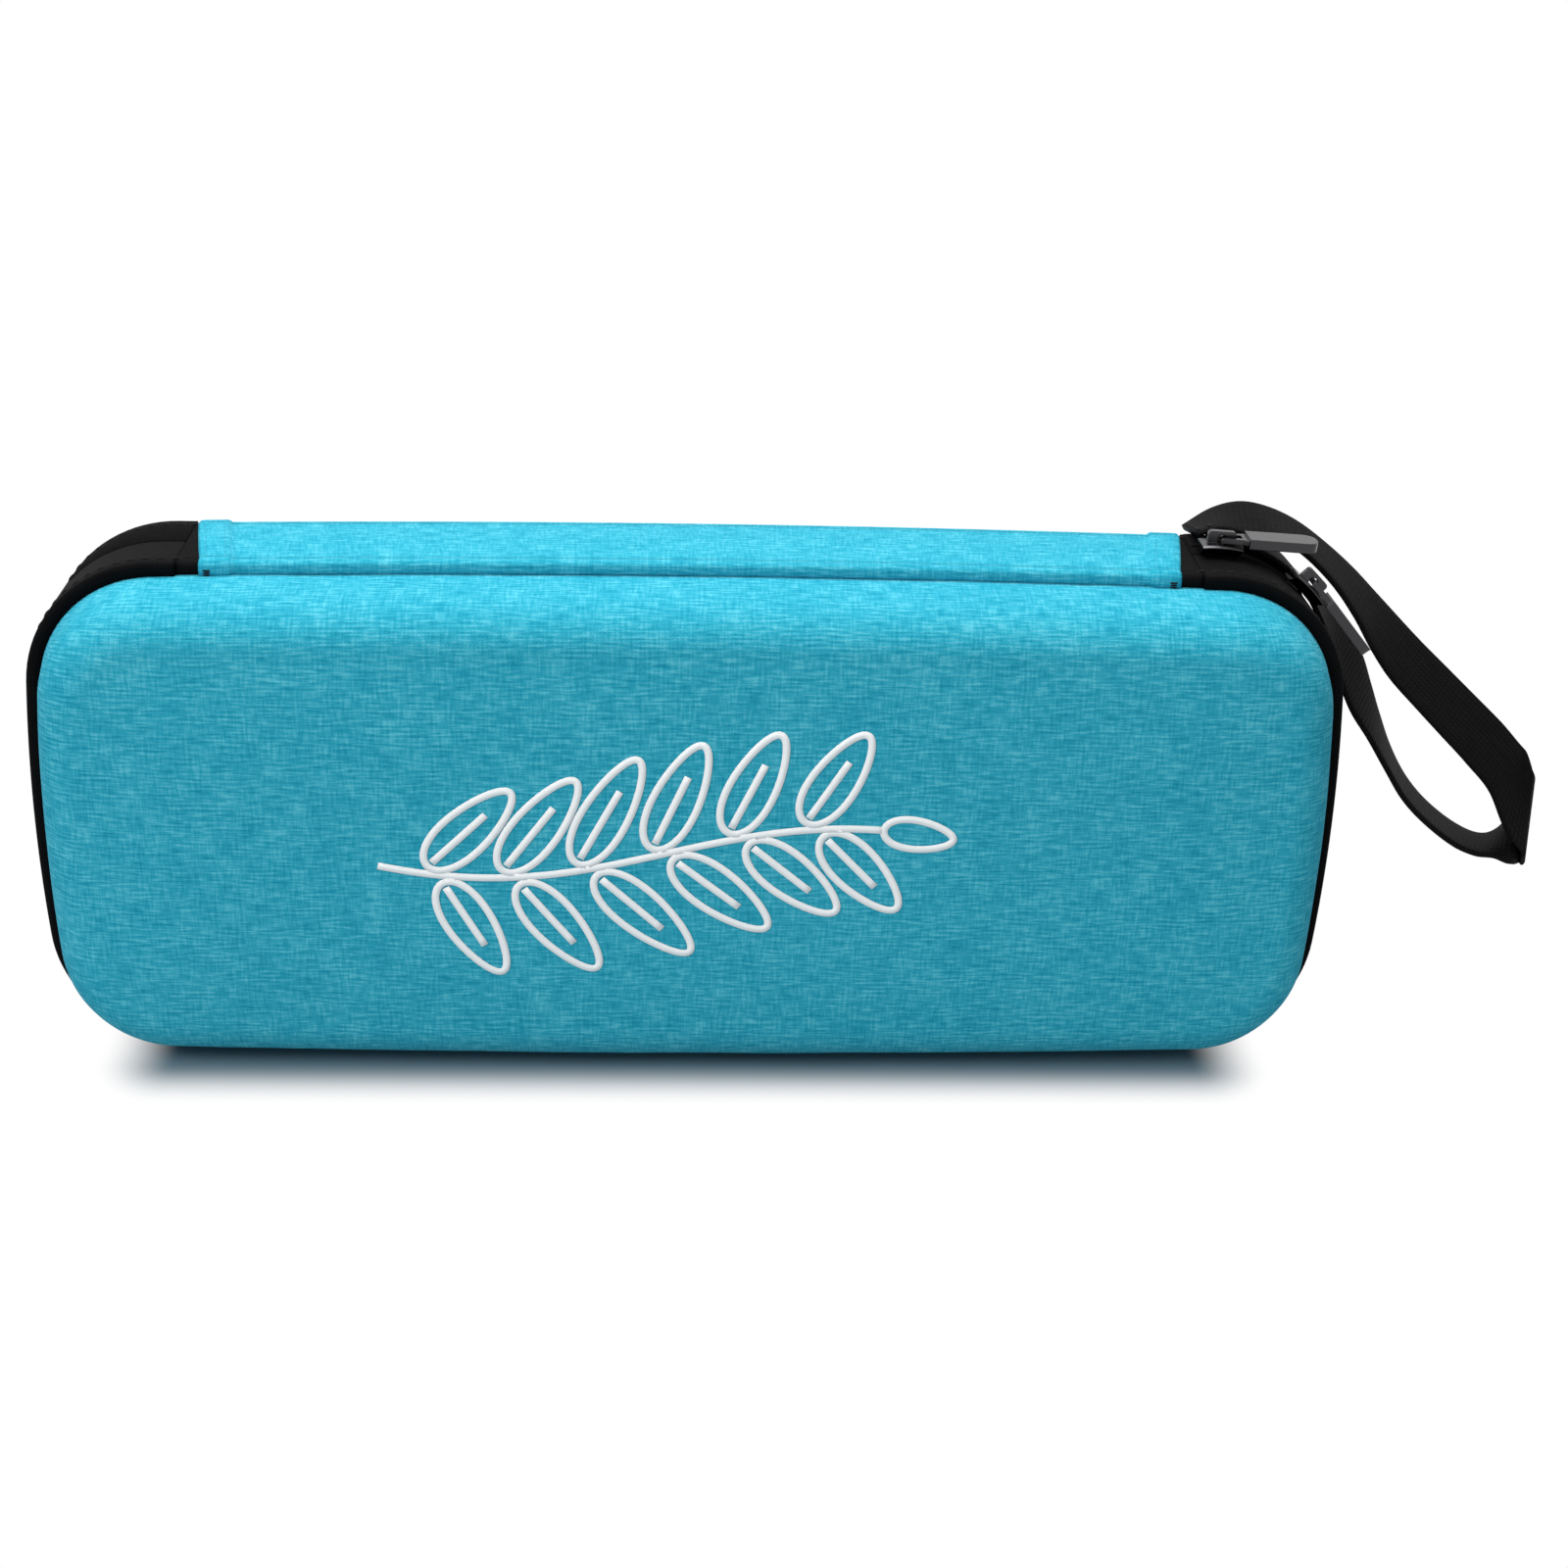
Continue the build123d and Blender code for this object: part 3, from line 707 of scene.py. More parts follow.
def zip_half(side, name):
    """Zip tape folded over the flange, its coil, the rows that sew both down, and the binding that
    covers the flange's raw edge inside."""
    shell = name + "_shell"
    tape = grow(name + "_tape_cloth", TAPE_TREE, run_points(ZIP_RUN, 0.0, 0.0), ZIP_TAPE, {"Side": -side},
                Gap=chain_gap, Depth=lip_y, Lip=shell_step, **{"Fold radius": tape_fold_radius})
    merge(tape.data)
    thicken(tape, tape_thickness)
    if side == BACK:
        tape.data.flip_normals()
    dress(tape, ZIP_TAPE, shell, "zip_tape", name + "_zip_tape")
    coil_width = coil_high.y - coil_low.y
    coil_run = run_points(ZIP_RUN, tape_thickness + coil_height / 2, side * (chain_gap + coil_width / 2))
    coil = grow(name + "_coil_turns", COIL_TREE, coil_run, NYLON, Pitch=coil_pitch,
                Width=coil_width - 2 * coil_wire, Height=coil_height - 2 * coil_wire, Wire=coil_wire)
    dress(coil, NYLON, shell, "nylon_coil", name + "_zip_coil")
    sewing = run_points(ZIP_RUN, 0.0, side * (lip_y - tape_seam_gap))
    sew(name + "_tape_seam", sewing, TAPE_STITCH, BLACK_THREAD, shell, "zip_tape")
    near, far, raw = binding_low.y, binding_high.y, lining_inset
    section = [(1.0, far), (1.3, near + 0.1), (2.6, near - 0.1), (rim_seam_inset, near - 0.1),
               (raw - 0.4, near), (raw + 0.1, near + 0.3), (raw + 0.35, near + 1.0),
               (raw + 0.35, rim_y - 0.2), (raw, rim_y + 0.6)]
    section = [(inset, side * y) for inset, y in section]
    binding = strip_along(name + "_rim_tape", ZIP_RUN, section, side == FRONT, rim_tape_thickness)
    dress(binding, BINDING, shell, "black_binding", name + "_rim_binding")
    sewing = run_points(ZIP_RUN, rim_seam_inset, side * (near - 0.1), (0.0, -side, 0.0))
    sew(name + "_rim_seam", sewing, BINDING_STITCH, BLACK_THREAD, shell, "black_binding")


for side, name in HALVES:
    shell_fabrics(side, name)
    zip_half(side, name)

# ---- spine
spine_flat = 12.0          # half width of the panel between its two folds
fold_y = 14.15             # outer face of the folded skirt
fold_radius = 1.4
skirt_high = 111.8         # where the skirt starts to lean in
skirt_low = 110.9
spine_crown = 0.7
hem_width = 7.0
hem_rise = 0.5
hem_seams = (1.6, hem_width - 1.2)
end_slant = 4.3            # how much shorter the cloth is at each end along its front edge
end_lap = 0.3              # how far a tape laps over at both sides of the gap that this leaves
end_tape_thickness = 0.45


def spine_rows():
    """(x, how far the cloth stands above the panel) along the spine, with a turned hem at each end."""
    ends = [(0.0, -2.6), (0.0, -0.5), (0.15, 0.0), (0.6, hem_rise * 0.8), (1.4, hem_rise), (3.5, hem_rise)]
    ends += [(hem_width - 0.5, hem_rise), (hem_width, hem_rise * 0.6), (hem_width + 0.3, 0.0), (9.0, 0.0)]
    left = [(x - spine_half, rise) for x, rise in ends]
    middle = [(-spine_half + 12 + i * (2 * spine_half - 24) / 32, 0.0) for i in range(33)]
    return left + middle + [(-x, rise) for x, rise in reversed(left)]


def panel_section():
    """Top of the spine between its folds: (y, z, outward y, outward z)."""
    section = []
    for i in range(13):
        y = spine_flat * (i / 6 - 1)
        rise = spine_crown * (1 + cos(pi * y / spine_flat)) / 2
        section.append((y, case_height + rise, 0.0, 1.0))
    return section


def fold_section(side):
    """From the panel's edge over the fold and down the skirt to the shell's rim."""
    section = [(side * spine_flat, case_height, 0.0, 1.0)]
    for i in range(7):
        turn = pi / 2 * i / 6
        y = fold_y - fold_radius * (1 - sin(turn))
        section.append((side * y, case_height - fold_radius * (1 - cos(turn)), side * sin(turn), cos(turn)))
    section.append((side * fold_y, skirt_high, side, 0.0))
    section.append((side * (fold_y - 0.1), skirt_low, side, 0.0))
    return section


def fold_bend(side, name):
    """The fold between a shell and the spine, in metres: it starts where the skirt leaves the shell,
    and it ends where the cloth wholly follows the spine."""
    start = (0.0, side * fold_y * MM, (case_height - 2.2) * MM)
    end = (0.0, side * (spine_flat + 0.4) * MM, (case_height + 0.3) * MM)
    return name + "_shell", "spine", start, end


def slanted(x, y):
    """Place along the spine of cloth that is pulled in towards its front edge."""
    share = (1 - max(-1.0, min(1.0, y / spine_flat))) / 2
    return x * (1 - end_slant * share / spine_half)


def spine_bow(x):
    """How far the spine bellies up with the shells' long sides."""
    return side_bow * (1 - (x / corner_x) ** 2)


def spine_strip(name, section, turn):
    """Strip of the spine's cloth with this section, backed with lining cloth."""
    across = [0.0]
    for before, after in zip(section, section[1:]):
        across.append(across[-1] + hypot(after[0] - before[0], after[1] - before[1]))
    rings, cloth = [], []
    for x, rise in spine_rows():
        rings.append([Vector((slanted(x, y), y + ny * rise, z + nz * rise + spine_bow(x)))
                      for y, z, ny, nz in section])
        cloth.append([(x, section[0][0] + v) for v in across])
    strip = loft(name, rings, cloth, turn=turn)
    strip.data.materials.append(TEAL)
    return thicken(strip, cover_thickness, TRICOT)


panel = spine_strip("spine_panel_cloth", panel_section(), True)
dress(panel, TEAL, "spine", "teal_polyester", "spine_cover")
for side, name in HALVES:
    fold = spine_strip(name + "_fold_cloth", fold_section(side), side == BACK)
    dress(fold, TEAL, fold_bend(side, name), "teal_polyester")
paint_node("spine_board", FOAM)


def spine_backing():
    """Brushed lining under the spine's board, puffed between two lines that hold it to the board."""
    low, high = box_mm("spine_lining")
    section = []
    for i in range(25):
        y = low.y + (high.y - low.y) * i / 24
        puff = 0.35 * abs(sin(pi * i / 24 * 3)) ** 0.6
        section.append((y, low.z + 0.25 - puff))
    rings, cloth = [], []
    for i in range(55):
        x = low.x + (high.x - low.x) * i / 54
        rings.append([Vector((x, y, z + noise.noise(Vector((x / 9, y / 9, 0))) * 0.12)) for y, z in section])
        cloth.append([(x, y) for y, z in section])
    backing = thicken(loft("spine_lining_cloth", rings, cloth), 0.3)
    dress(backing, TRICOT, "spine", "lining_fabric", "spine_lining")


def straight_row(start, end, up, count=24):
    """Run of points from start to end with one outward direction."""
    start, end = Vector(start), Vector(end)
    return [start.lerp(end, i / count) for i in range(count + 1)], [up] * (count + 1)


def spine_stitching():
    """The hem's two rows across each end of the spine, and the bar tacks at its corners."""
    for end, name in ENDS:
        for row, inset in enumerate(hem_seams):
            x = end * (spine_half - inset)
            ridge = [Vector((slanted(x, y), y, z + hem_rise + spine_bow(x)))
                     for y, z, *_ in panel_section()]
            sew("spine_hem_seam_%s_%d" % (name, row), (ridge, [(0, 0, 1)] * len(ridge)), HEM_STITCH,
                TEAL_THREAD, "spine", "teal_polyester")
        for side, half in HALVES:
            x = slanted(end * (spine_half - 2.0), side * fold_y)
            top = (x, side * (fold_y + hem_rise), case_height - fold_radius - 0.3)
            foot = (x, side * (fold_y + hem_rise - 0.1), skirt_low + 0.4)
            sew("spine_tack_%s_%s_shell" % (name, half), straight_row(top, foot, (0, side, 0), 6),
                SPINE_TACK, BLACK_THREAD, fold_bend(side, half), "teal_polyester", pi / 2)


def across_gap(y, share):
    """Place along the spine, share of the way over the gap beyond the cloth's slanted end."""
    near, far = slanted(spine_half, y) - end_lap, spine_half + end_lap
    return near + (far - near) * share


def spine_end_tapes():
    """Woven tape beyond each slanted end of the spine's cloth: over the board, and over the front fold."""
    for end, name in ENDS:
        rings = [[Vector((end * across_gap(y, i / 5), y - ny * 0.1, z - nz * 0.08))
                  for y, z, ny, nz in fold_section(FRONT)] for i in range(6)]
        cloth = [[(p.x, p.z - p.y) for p in ring] for ring in rings]
        fold = thicken(loft("front_fold_tape_" + name, rings, cloth, turn=(end < 0)), end_tape_thickness)
        dress(fold, ZIP_TAPE, fold_bend(FRONT, "front"), "zip_tape")
        rows = [spine_flat * (i / 8 - 1) for i in range(17)]
        rings = [[Vector((end * across_gap(y, j / 6), y, case_height - 0.08)) for j in range(7)]
                 for y in rows]
        cloth = [[(end * p.x, p.y) for p in ring] for ring in rings]
        tape = thicken(loft("spine_end_tape_" + name, rings, cloth, turn=(end < 0)), end_tape_thickness)
        dress(tape, ZIP_TAPE, "spine", "zip_tape")


def hinge_binding(side, name):
    """Flat tape over the raw edges of cover, foam and lining where a shell meets the spine."""
    run = [(notch_half * i / 30, mid_z, 0.0, 1.0) for i in range(-30, 31)]
    outer, raw = shell_step - 0.1, lining_inset + lining_thickness + 0.4
    low, high = rim_y - 0.35, rim_y - 0.1
    section = [(outer, high), (outer + 0.2, low), (raw - 0.4, low), (raw, high), (raw + 0.1, rim_y + 0.8)]
    section = [(inset, side * y) for inset, y in section]
    tape = strip_along(name + "_hinge_tape", run, section, side == FRONT, 0.2)
    dress(tape, BINDING, name + "_shell", "black_binding")


spine_backing()
spine_stitching()
spine_end_tapes()
for side, name in HALVES:
    hinge_binding(side, name)

# ---- mesh pocket in the front shell
net_pitch = 3.0
net_hole = 0.64            # a hole's size over its cell's
net_thickness = 0.4
pocket_tape_thickness = 0.5
gather_pitch = 5.5         # from one gather of the elastic to the next


def mesh_pocket():
    """Net stretched over the front shell's lower part, with a gathered elastic along its top."""
    width, height = net_high.x - net_low.x, net_high.z - net_low.z
    net = grow("pocket_net", NET_TREE, ([], []), NET, {"Hole": net_hole}, Length=width, Height=2 * height,
               Corner=corner_radius - lining_inset, **{"Mesh size": net_pitch})
    work = bmesh.new()
    work.from_mesh(net.data)
    bmesh.ops.translate(work, verts=work.verts, vec=(0, net_low.y * MM, net_high.z * MM))
    above_top = [face for face in work.faces if face.calc_center_median().z > net_high.z * MM]
    bmesh.ops.delete(work, geom=above_top, context="FACES")
    work.to_mesh(net.data)
    work.free()
    thicken(net, net_thickness)
    dress(net, NET, "front_shell", "mesh", "mesh_pocket")
    elastic = pocket_elastic()
    binding = pocket_edge()


def pocket_elastic():
    """Ribbed knitted elastic, gathered a little by its pull."""
    low, high = elastic_low, elastic_high
    middle, half = (low.y + high.y) / 2, (high.y - low.y) / 2
    section = []
    for i in range(24):
        turn = 2 * pi * i / 24
        flat = cos(turn)
        tall = (high.z - low.z) / 2 * (abs(flat) ** 0.35) * (1 if flat > 0 else -1)
        section.append(((low.z + high.z) / 2 + tall, 0.55 * half * sin(turn)))
    section.append(section[0])
    around = distances([Vector((z, y, 0)) for z, y in section])
    rings, cloth = [], []
    for i in range(241):
        x = low.x + 0.3 + (high.x - low.x - 0.6) * i / 240
        gather = 0.3 * half * sin(2 * pi * x / gather_pitch + sin(x / 11))
        rings.append([Vector((x, middle + y + gather, z)) for z, y in section])
        cloth.append([(x, v) for v in around])
    elastic = loft("pocket_elastic_band", rings, cloth, turn=True, caps=True)
    return dress(elastic, ELASTIC, "front_shell", "elastic", "pocket_elastic")


def pocket_edge():
    """Binding that holds the net's edge to the lining, with its row of stitches."""
    low_z = pocket_trim_high.z
    low_run = [s for s in OUTLINE if mid_z + s[1] <= low_z]
    outer = shell_step + cover_thickness + core_thickness + lining_thickness + 0.25
    face, raw = pocket_trim_high.y, pocket_trim_low.y
    section = [(outer, raw + 0.1), (outer + 0.4, face - 0.15), (outer + 1.5, face), (outer + 3.4, face),
               (outer + 4.5, face - 0.15), (outer + 4.9, raw + 0.1)]
    binding = strip_along("pocket_edge_tape", low_run, section, True, pocket_tape_thickness)
    dress(binding, BINDING, "front_shell", "black_binding", "pocket_binding")
    sewing = run_points(low_run, outer + 2.4, face, (0.0, 1.0, 0.0))
    sew("pocket_edge_seam", sewing, BINDING_STITCH, BLACK_THREAD, "front_shell", "black_binding")
    return binding


mesh_pocket()


# ---- print on the front face
print_width = 122.0
print_middle = (-5.4, 57.2)
end_leaf = 15.0            # length of the leaf at the sprig's tip
stem_wave = 6.0            # how far the stem sways to each side
leaf_length = 27.0         # of the longest pair
leaf_width = 11.5
leaf_lean = radians(52)    # of each side leaf from the stem
leaf_stalk = 2.2           # from the stem to the leaf's foot
stroke_width = 1.6
stroke_thickness = 0.12


def leaf_line(base, heading, length, width, steps=22):
    """Closed outline of a leaf that grows from its base along its heading."""
    forward = Vector((cos(heading), sin(heading)))
    aside = Vector((-sin(heading), cos(heading)))
    line = []
    for i in range(2 * steps):
        turn = pi * i / steps
        reach = (1 - cos(turn)) / 2
        spread = width / 2 * sin(turn) * (1 - 0.35 * reach)
        line.append(base + forward * length * reach + aside * spread)
    return line + line[:1]


def sprig_lines():
    """Stem and paired leaves of a printed sprig: lines of points on the face, about its middle."""
    stem = []
    for i in range(61):
        x = (print_width - end_leaf) * i / 60 - print_width / 2
        stem.append(Vector((x, stem_wave * sin(pi * x / (print_width * 0.62)))))
    lines = [stem]
    for pair in range(6):
        place = 5 + pair * 9
        heading = stem[place + 1] - stem[place - 1]
        turn = atan2(heading.y, heading.x)
        length = leaf_length - 1.2 * abs(pair - 2)
        for side in (1, -1):
            lean = turn + side * leaf_lean
            outward = Vector((cos(lean), sin(lean)))
            base = stem[place + (2 if side < 0 else 0)] + outward * leaf_stalk
            lines.append(leaf_line(base, lean, length, leaf_width))
            lines.append([base + outward * length * (0.05 + 0.65 * i / 10) for i in range(11)])
    lines.append(leaf_line(stem[-1], radians(-8), end_leaf, 8.0))
    return lines


def printed_sprig():
    """White transfer pressed onto the front cover: each line is a thin strip that follows the cloth."""
    cover = bpy.data.objects["front_cover_cloth"].data
    cloth = BVHTree.FromPolygons([v.co for v in cover.vertices], [f.vertices for f in cover.polygons])
    points, faces = [], []
    for line in sprig_lines():
        closed = line[0] == line[-1]
        start = len(points)
        for i, place in enumerate(line):
            before = line[i - 1] if i else line[-2] if closed else place
            after = line[i + 1] if i + 1 < len(line) else line[1] if closed else place
            along = (after - before).normalized()
            aside = Vector((-along.y, along.x)) * stroke_width / 2
            for edge in (place + aside, place - aside):
                x, z = print_middle[0] + edge.x, print_middle[1] + edge.y
                hit = cloth.ray_cast(Vector((x, 2 * FRONT * face_y, z)) * MM, Vector((0, 1, 0)))[0]
                points.append(hit - Vector((0, stroke_thickness * 0.8 * MM, 0)))
            if i:
                a = start + 2 * i
                faces.append((a - 2, a, a + 1, a - 1))
    mesh = bpy.data.meshes.new("printed_sprig")
    mesh.from_pydata(points, [], faces)
    merge(mesh)
    sprig = thicken(show("printed_sprig", mesh), stroke_thickness)
    dress(sprig, TRANSFER, "front_shell", "teal_polyester")


printed_sprig()

# ---- sliders
for node in ("slider_a_body", "slider_a_pull", "slider_b_body", "slider_b_pull"):
    paint_node(node, GUNMETAL)

# ---- wrist strap
strap_width = 15.0
strap_thickness = 1.3
strap_mid_y = 12.5
strap_root_x = notch_half + 1.6
strap_lift = 1.35          # middle of the lower end above the band
strap_tuck_x = strap_root_x + 3.6    # the lower end stops short, tucked under the upper one
strap_slant = 0.68         # most slant between run and width that a section's length follows
tack_half = 6.2
# Middle of the webbing, from where the strap turns down along X and from the band's top along Z,
# and the direction from its front edge to its back edge.
LEVEL = (0, 1, 0)
SEWN = (0, 1, -0.2)
UPPER_LEG = [
    ((3.2, 12.5, 4.1), (0.08, 0.99, 0.0)),
    ((9.3, 12.5, 4.4), (0.09, 0.98, 0.19)),
    ((15.5, 12.5, 3.6), (0.13, 0.98, 0.13)),
    ((21.5, 12.5, 0.8), (0.21, 0.97, 0.10)),
    ((27.5, 12.4, -3.6), (0.32, 0.94, 0.05)),
    ((33.7, 12.2, -9.3), (0.41, 0.91, 0.05)),
    ((39.4, 12.0, -15.8), (0.49, 0.87, 0.11)),
    ((44.5, 12.0, -22.2), (0.56, 0.79, 0.24)),
    ((49.8, 12.0, -28.3), (0.59, 0.72, 0.35)),
    ((56.6, 11.9, -34.9), (0.61, 0.69, 0.39)),
    ((63.4, 11.8, -41.4), (0.63, 0.66, 0.41)),
    ((71.0, 11.8, -48.7), (0.66, 0.62, 0.43)),
    ((77.0, 11.9, -55.3), (0.55, 0.59, 0.58)),
    ((80.9, 12.2, -61.9), (0.24, 0.37, 0.90)),
]
FOLD_LINE = (0.02, 0.14, 0.99)
FOLD = [
    ((83.6, 12.6, -65.8), FOLD_LINE),
    ((84.5, 13.2, -67.7), FOLD_LINE),
    ((85.0, 14.3, -69.3), FOLD_LINE),
    ((85.4, 15.3, -70.7), FOLD_LINE),
    ((85.2, 15.9, -71.8), (0.07, 0.22, 0.97)),
]
LOWER_LEG = [
    ((83.2, 16.2, -72.2), (0.26, 0.66, 0.70)),
    ((79.4, 15.7, -75.1), (0.42, 0.90, 0.09)),
    ((74.8, 14.9, -75.9), (0.42, 0.90, -0.12)),
    ((68.8, 14.3, -73.6), (0.37, 0.91, -0.15)),
    ((60.3, 13.2, -67.2), (0.30, 0.95, -0.11)),
    ((54.0, 12.7, -60.6), (0.27, 0.96, -0.04)),
    ((49.0, 12.5, -52.8), (0.27, 0.96, 0.02)),
    ((44.6, 12.5, -44.6), (0.35, 0.93, 0.10)),
    ((40.9, 12.5, -37.8), (0.46, 0.87, 0.17)),
    ((37.9, 12.5, -31.2), (0.49, 0.85, 0.20)),
    ((34.5, 12.5, -24.7), (0.41, 0.89, 0.18)),
    ((29.6, 12.5, -17.6), (0.20, 0.97, 0.09)),
]


def strap_stations():
    """Middles and width directions of the webbing, from its upper end round to its lower end."""
    stations = [(Vector((strap_root_x, strap_mid_y, case_height + strap_lift)), SEWN)]
    for (x, y, z), width in UPPER_LEG + FOLD + LOWER_LEG:
        stations.append((Vector((corner_x + x, y, case_height + z)), width))
    hug = corner_radius + strap_lift
    for turned in range(50, 6, -8):
        turn = radians(turned)
        point = Vector((corner_x + hug * sin(turn), strap_mid_y, mid_z + corner_z + hug * cos(turn)))
        stations.append((point, LEVEL))
    stations.append((Vector((strap_tuck_x, strap_mid_y, case_height + strap_lift - 0.1)), LEVEL))
    return [point for point, width in stations], [Vector(width).normalized() for point, width in stations]


def smooth_line(knots, values, steps):
    """Values along a smooth curve through the knots, steps to each gap."""
    slopes = []
    for i in range(len(knots)):
        before, after = max(i - 1, 0), min(i + 1, len(knots) - 1)
        slopes.append((values[after] - values[before]) / (knots[after] - knots[before]))
    found = []
    for i in range(len(knots) - 1):
        gap = knots[i + 1] - knots[i]
        for step in range(steps):
            t = step / steps
            start, end = 2 * t ** 3 - 3 * t ** 2 + 1, 3 * t ** 2 - 2 * t ** 3
            leave, arrive = (t ** 3 - 2 * t ** 2 + t) * gap, (t ** 3 - t ** 2) * gap
            found.append(values[i] * start + values[i + 1] * end + slopes[i] * leave + slopes[i + 1] * arrive)
    return found + [values[-1]]


def webbing_section():
    """Flat webbing's outline, closed by its first point: (share of the half width, through)."""
    edge = strap_thickness / 2
    flat = 1 - strap_thickness / strap_width
    section = [(flat * (i / 3 - 1), edge) for i in range(6)]
    section += [(flat + (1 - flat) * sin(pi * i / 6), edge * cos(pi * i / 6)) for i in range(6)]
    section += [(-a, -t) for a, t in section]
    return section + section[:1]


def wrist_strap():
    """Loop of flat webbing, folded over at its far end, with both ends sewn beside the spine.  Where
    its run and its width aren't square to each other, a section is as long as the slant makes it."""
    knots_points, knots_widths = strap_stations()
    knots = distances(knots_points)
    halves = []
    for i, width in enumerate(knots_widths):
        run = knots_points[min(i + 1, len(knots) - 1)] - knots_points[max(i - 1, 0)]
        slant = min(abs(run.normalized().dot(width)), strap_slant)
        halves.append(strap_width / 2 / sqrt(1 - slant ** 2))
    points, widths, halves = [smooth_line(knots, values, 6)
                              for values in (knots_points, knots_widths, halves)]
    section = webbing_section()
    lengths = distances(points)
    around = distances([Vector((a * strap_width / 2, t, 0)) for a, t in section])
    rings, cloth = [], []
    for i, point in enumerate(points):
        width = widths[i].normalized()
        forward = points[min(i + 1, len(points) - 1)] - points[max(i - 1, 0)]
        through = (forward - width * forward.dot(width)).normalized().cross(width)
        rings.append([point + width * a * halves[i] + through * t for a, t in section])
        cloth.append([(lengths[i], v) for v in around])
    return loft("strap_webbing", rings, cloth, turn=True, caps=True)


def strap_stitching():
    """Two bar tacks across the strap's stacked ends."""
    (root, *_), (width, *_) = strap_stations()
    above = Vector((0.3, -width.z, 1)).normalized() * (strap_thickness / 2)
    for number, x in enumerate((1.0, 3.4)):
        middle = root + Vector((x, 0, x * 0.35)) + above
        reach = width * tack_half
        row = straight_row(middle - reach, middle + reach, tuple(above.normalized()))
        sew("strap_tack_%d" % number, row, STRAP_TACK, BLACK_THREAD, STRAP_BEND, "webbing", pi / 2)


def strap_tab():
    """Short tab of tape that is sewn over the band in front of the strap's ends."""
    low, high = box_mm("strap_anchor")
    rings, cloth = [], []
    for i in range(9):
        share = i / 8
        x = low.x + 0.2 + (high.x - low.x - 0.4) * share
        crown = 0.12 + 0.33 * sin(pi * share) ** 0.4
        ring = []
        for j in range(13):
            y = low.y + 0.2 + (high.y - low.y - 0.4) * j / 12
            ring.append(Vector((x, y, low.z + crown * sin(pi * (0.06 + 0.88 * j / 12)) ** 0.3)))
        rings.append(ring)
        cloth.append([(p.x, p.y) for p in ring])
    tab = thicken(loft("strap_tab", rings, cloth, turn=True), 0.1)
    dress(tab, ZIP_TAPE, "back_shell", "webbing", "strap_anchor")


STRAP_BEND = ("back_shell", "strap",
              (strap_root_x * MM, strap_mid_y * MM, (case_height + 1.7) * MM),
              ((strap_root_x + 7) * MM, strap_mid_y * MM, (case_height + 4.5) * MM))
dress(wrist_strap(), WEBBING, STRAP_BEND, "webbing", "wrist_strap")
strap_stitching()
strap_tab()

# ---- camera, light and floor
aim = Vector((20.9, 0.0, 58.6))
distance = 559.0
pitch = radians(23.5)
yaw = radians(3.08)
roll = radians(1.72)
focal_share = 1.585        # focal length over the frame's width

look = Vector((sin(yaw) * cos(pitch), cos(yaw) * cos(pitch), -sin(pitch)))
right = look.cross(Vector((0, 0, 1))).normalized()
above = right.cross(look)
tilted_right = right * cos(roll) + above * sin(roll)
tilted_above = above * cos(roll) - right * sin(roll)
camera = show("camera", bpy.data.cameras.new("camera"))
camera.data.sensor_width = 36.0
camera.data.lens = camera.data.sensor_width * focal_share
camera.data.clip_start = 0.01
facing = Matrix((tilted_right, tilted_above, -look)).transposed()
camera.matrix_world = Matrix.Translation((aim - look * distance) * MM) @ facing.to_4x4()
scene.camera = camera


def soft_light(name, place, target, width, depth, power):
    """Rectangular soft box; place and target in metres."""
    lamp = bpy.data.lights.new(name, "AREA")
    lamp.shape = "RECTANGLE"
    lamp.size = width
    lamp.size_y = depth
    lamp.energy = power
    made = show(name, lamp)
    made.location = place
    made.rotation_mode = "QUATERNION"
    made.rotation_quaternion = (Vector(target) - Vector(place)).to_track_quat("-Z", "Y")


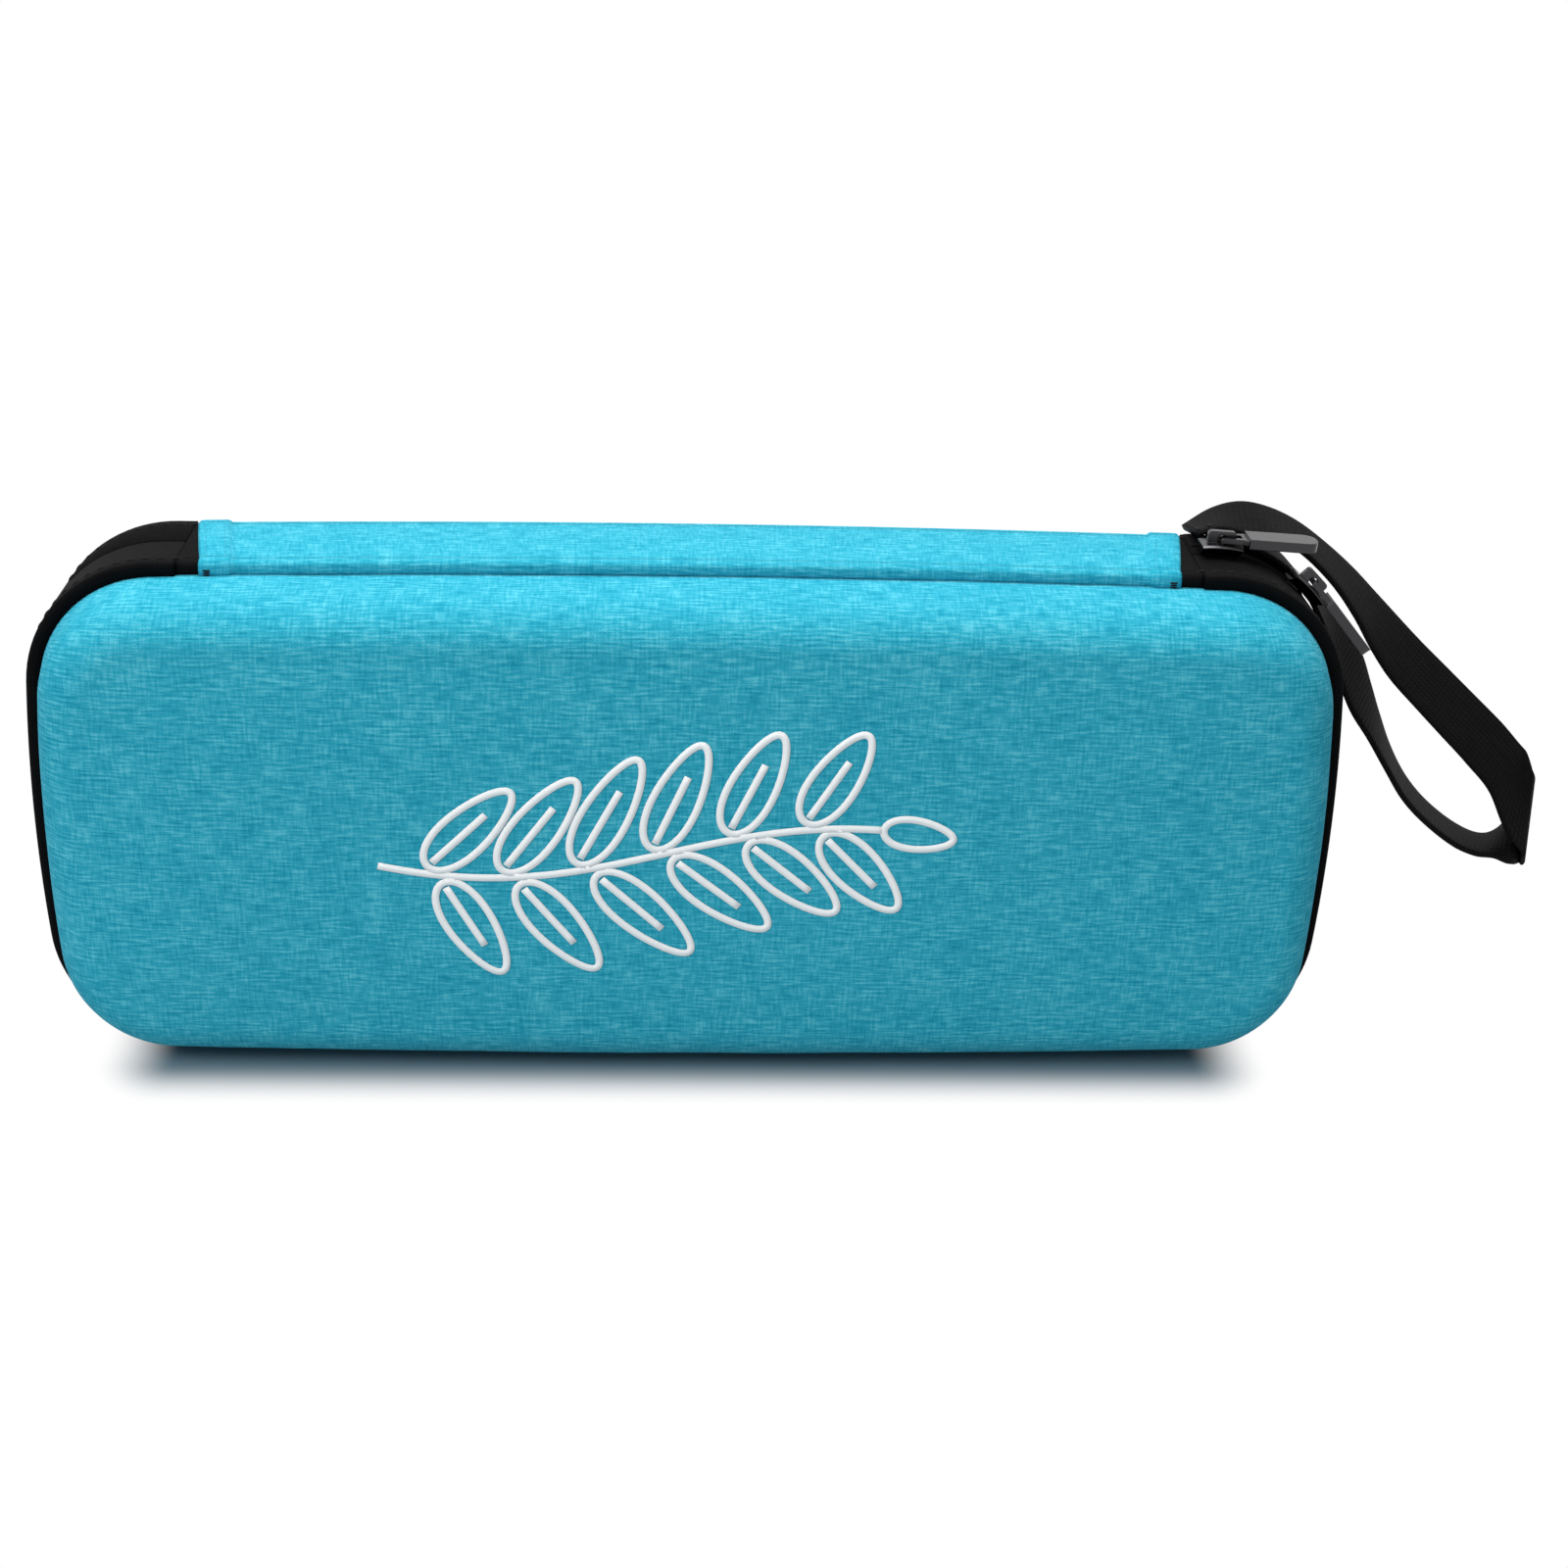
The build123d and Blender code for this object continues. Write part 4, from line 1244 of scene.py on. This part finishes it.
soft_light("overhead_box", (-0.05, 0.1, 0.95), (0, 0, 0.05), 0.9, 0.4, 9.0)
soft_light("front_box", (-0.5, -0.95, 1.05), (0, 0, 0.06), 0.9, 0.6, 10.1)


def looked_at(tree):
    """1 for rays that the camera sends, also by way of a mirror or through glass, and 0 for light."""
    rays = add(tree, "ShaderNodeLightPath").outputs
    straight = math(tree, "MAXIMUM", rays["Is Camera Ray"], rays["Is Glossy Ray"])
    return math(tree, "MAXIMUM", straight, rays["Is Transmission Ray"])


def studio_world():
    """White all round: full white where it is looked at, and dimmer for what it lights."""
    scene.world = bpy.data.worlds.new("studio")
    scene.world.use_nodes = True
    tree = scene.world.node_tree
    tree.nodes.clear()
    strength = first(tree, "ShaderNodeMapRange", {"Value": looked_at(tree), "To Min": 0.28, "To Max": 1.0})
    sky = first(tree, "ShaderNodeBackground", {"Strength": strength, "Color": (1, 1, 1, 1)})
    add(tree, "ShaderNodeOutputWorld", {"Surface": sky})


# The floor's size, the half sizes of its darker place under the case, which holds the shadow and a painted
# shade, and how far that runs out.
floor_size = 8.0
shade_half = (0.114, 0.024, 0.0)
shade_fade = 0.018


def studio_floor():
    """Paper floor: it takes the shadow near the case, and there its colour is a painted shade, a darker
    blue-grey where it is looked at than where it throws light back, so the shadow reads deeper; it runs out
    to plain white.  Its sizes are in metres."""
    bpy.ops.mesh.primitive_plane_add(size=floor_size)
    floor = bpy.context.object
    floor.name = "studio_floor"
    made, tree = start_material("studio_paper")
    place = add(tree, "ShaderNodeTexCoord").outputs["Object"]
    spread = beyond_box(tree, place, shade_half)
    far = first(tree, "ShaderNodeMapRange", {"Value": spread, "From Min": 0.0, "From Max": shade_fade},
                interpolation_type="SMOOTHSTEP")
    seen = looked_at(tree)
    # Painted shade: as looked at, the paper is darker and bluer than the light it throws back.
    tone = mixed(tree, seen, paint("#b4bcc0"), paint("#7f98a4"))
    paper = first(tree, "ShaderNodeBsdfDiffuse", {"Color": tone})
    white = first(tree, "ShaderNodeEmission", {"Strength": 1.0})
    surface = first(tree, "ShaderNodeMixShader", {0: times(tree, far, seen), 1: paper, 2: white})
    add(tree, "ShaderNodeOutputMaterial", {"Surface": surface})
    floor.data.materials.append(made)


studio_world()
studio_floor()
scene.view_settings.view_transform = "Standard"
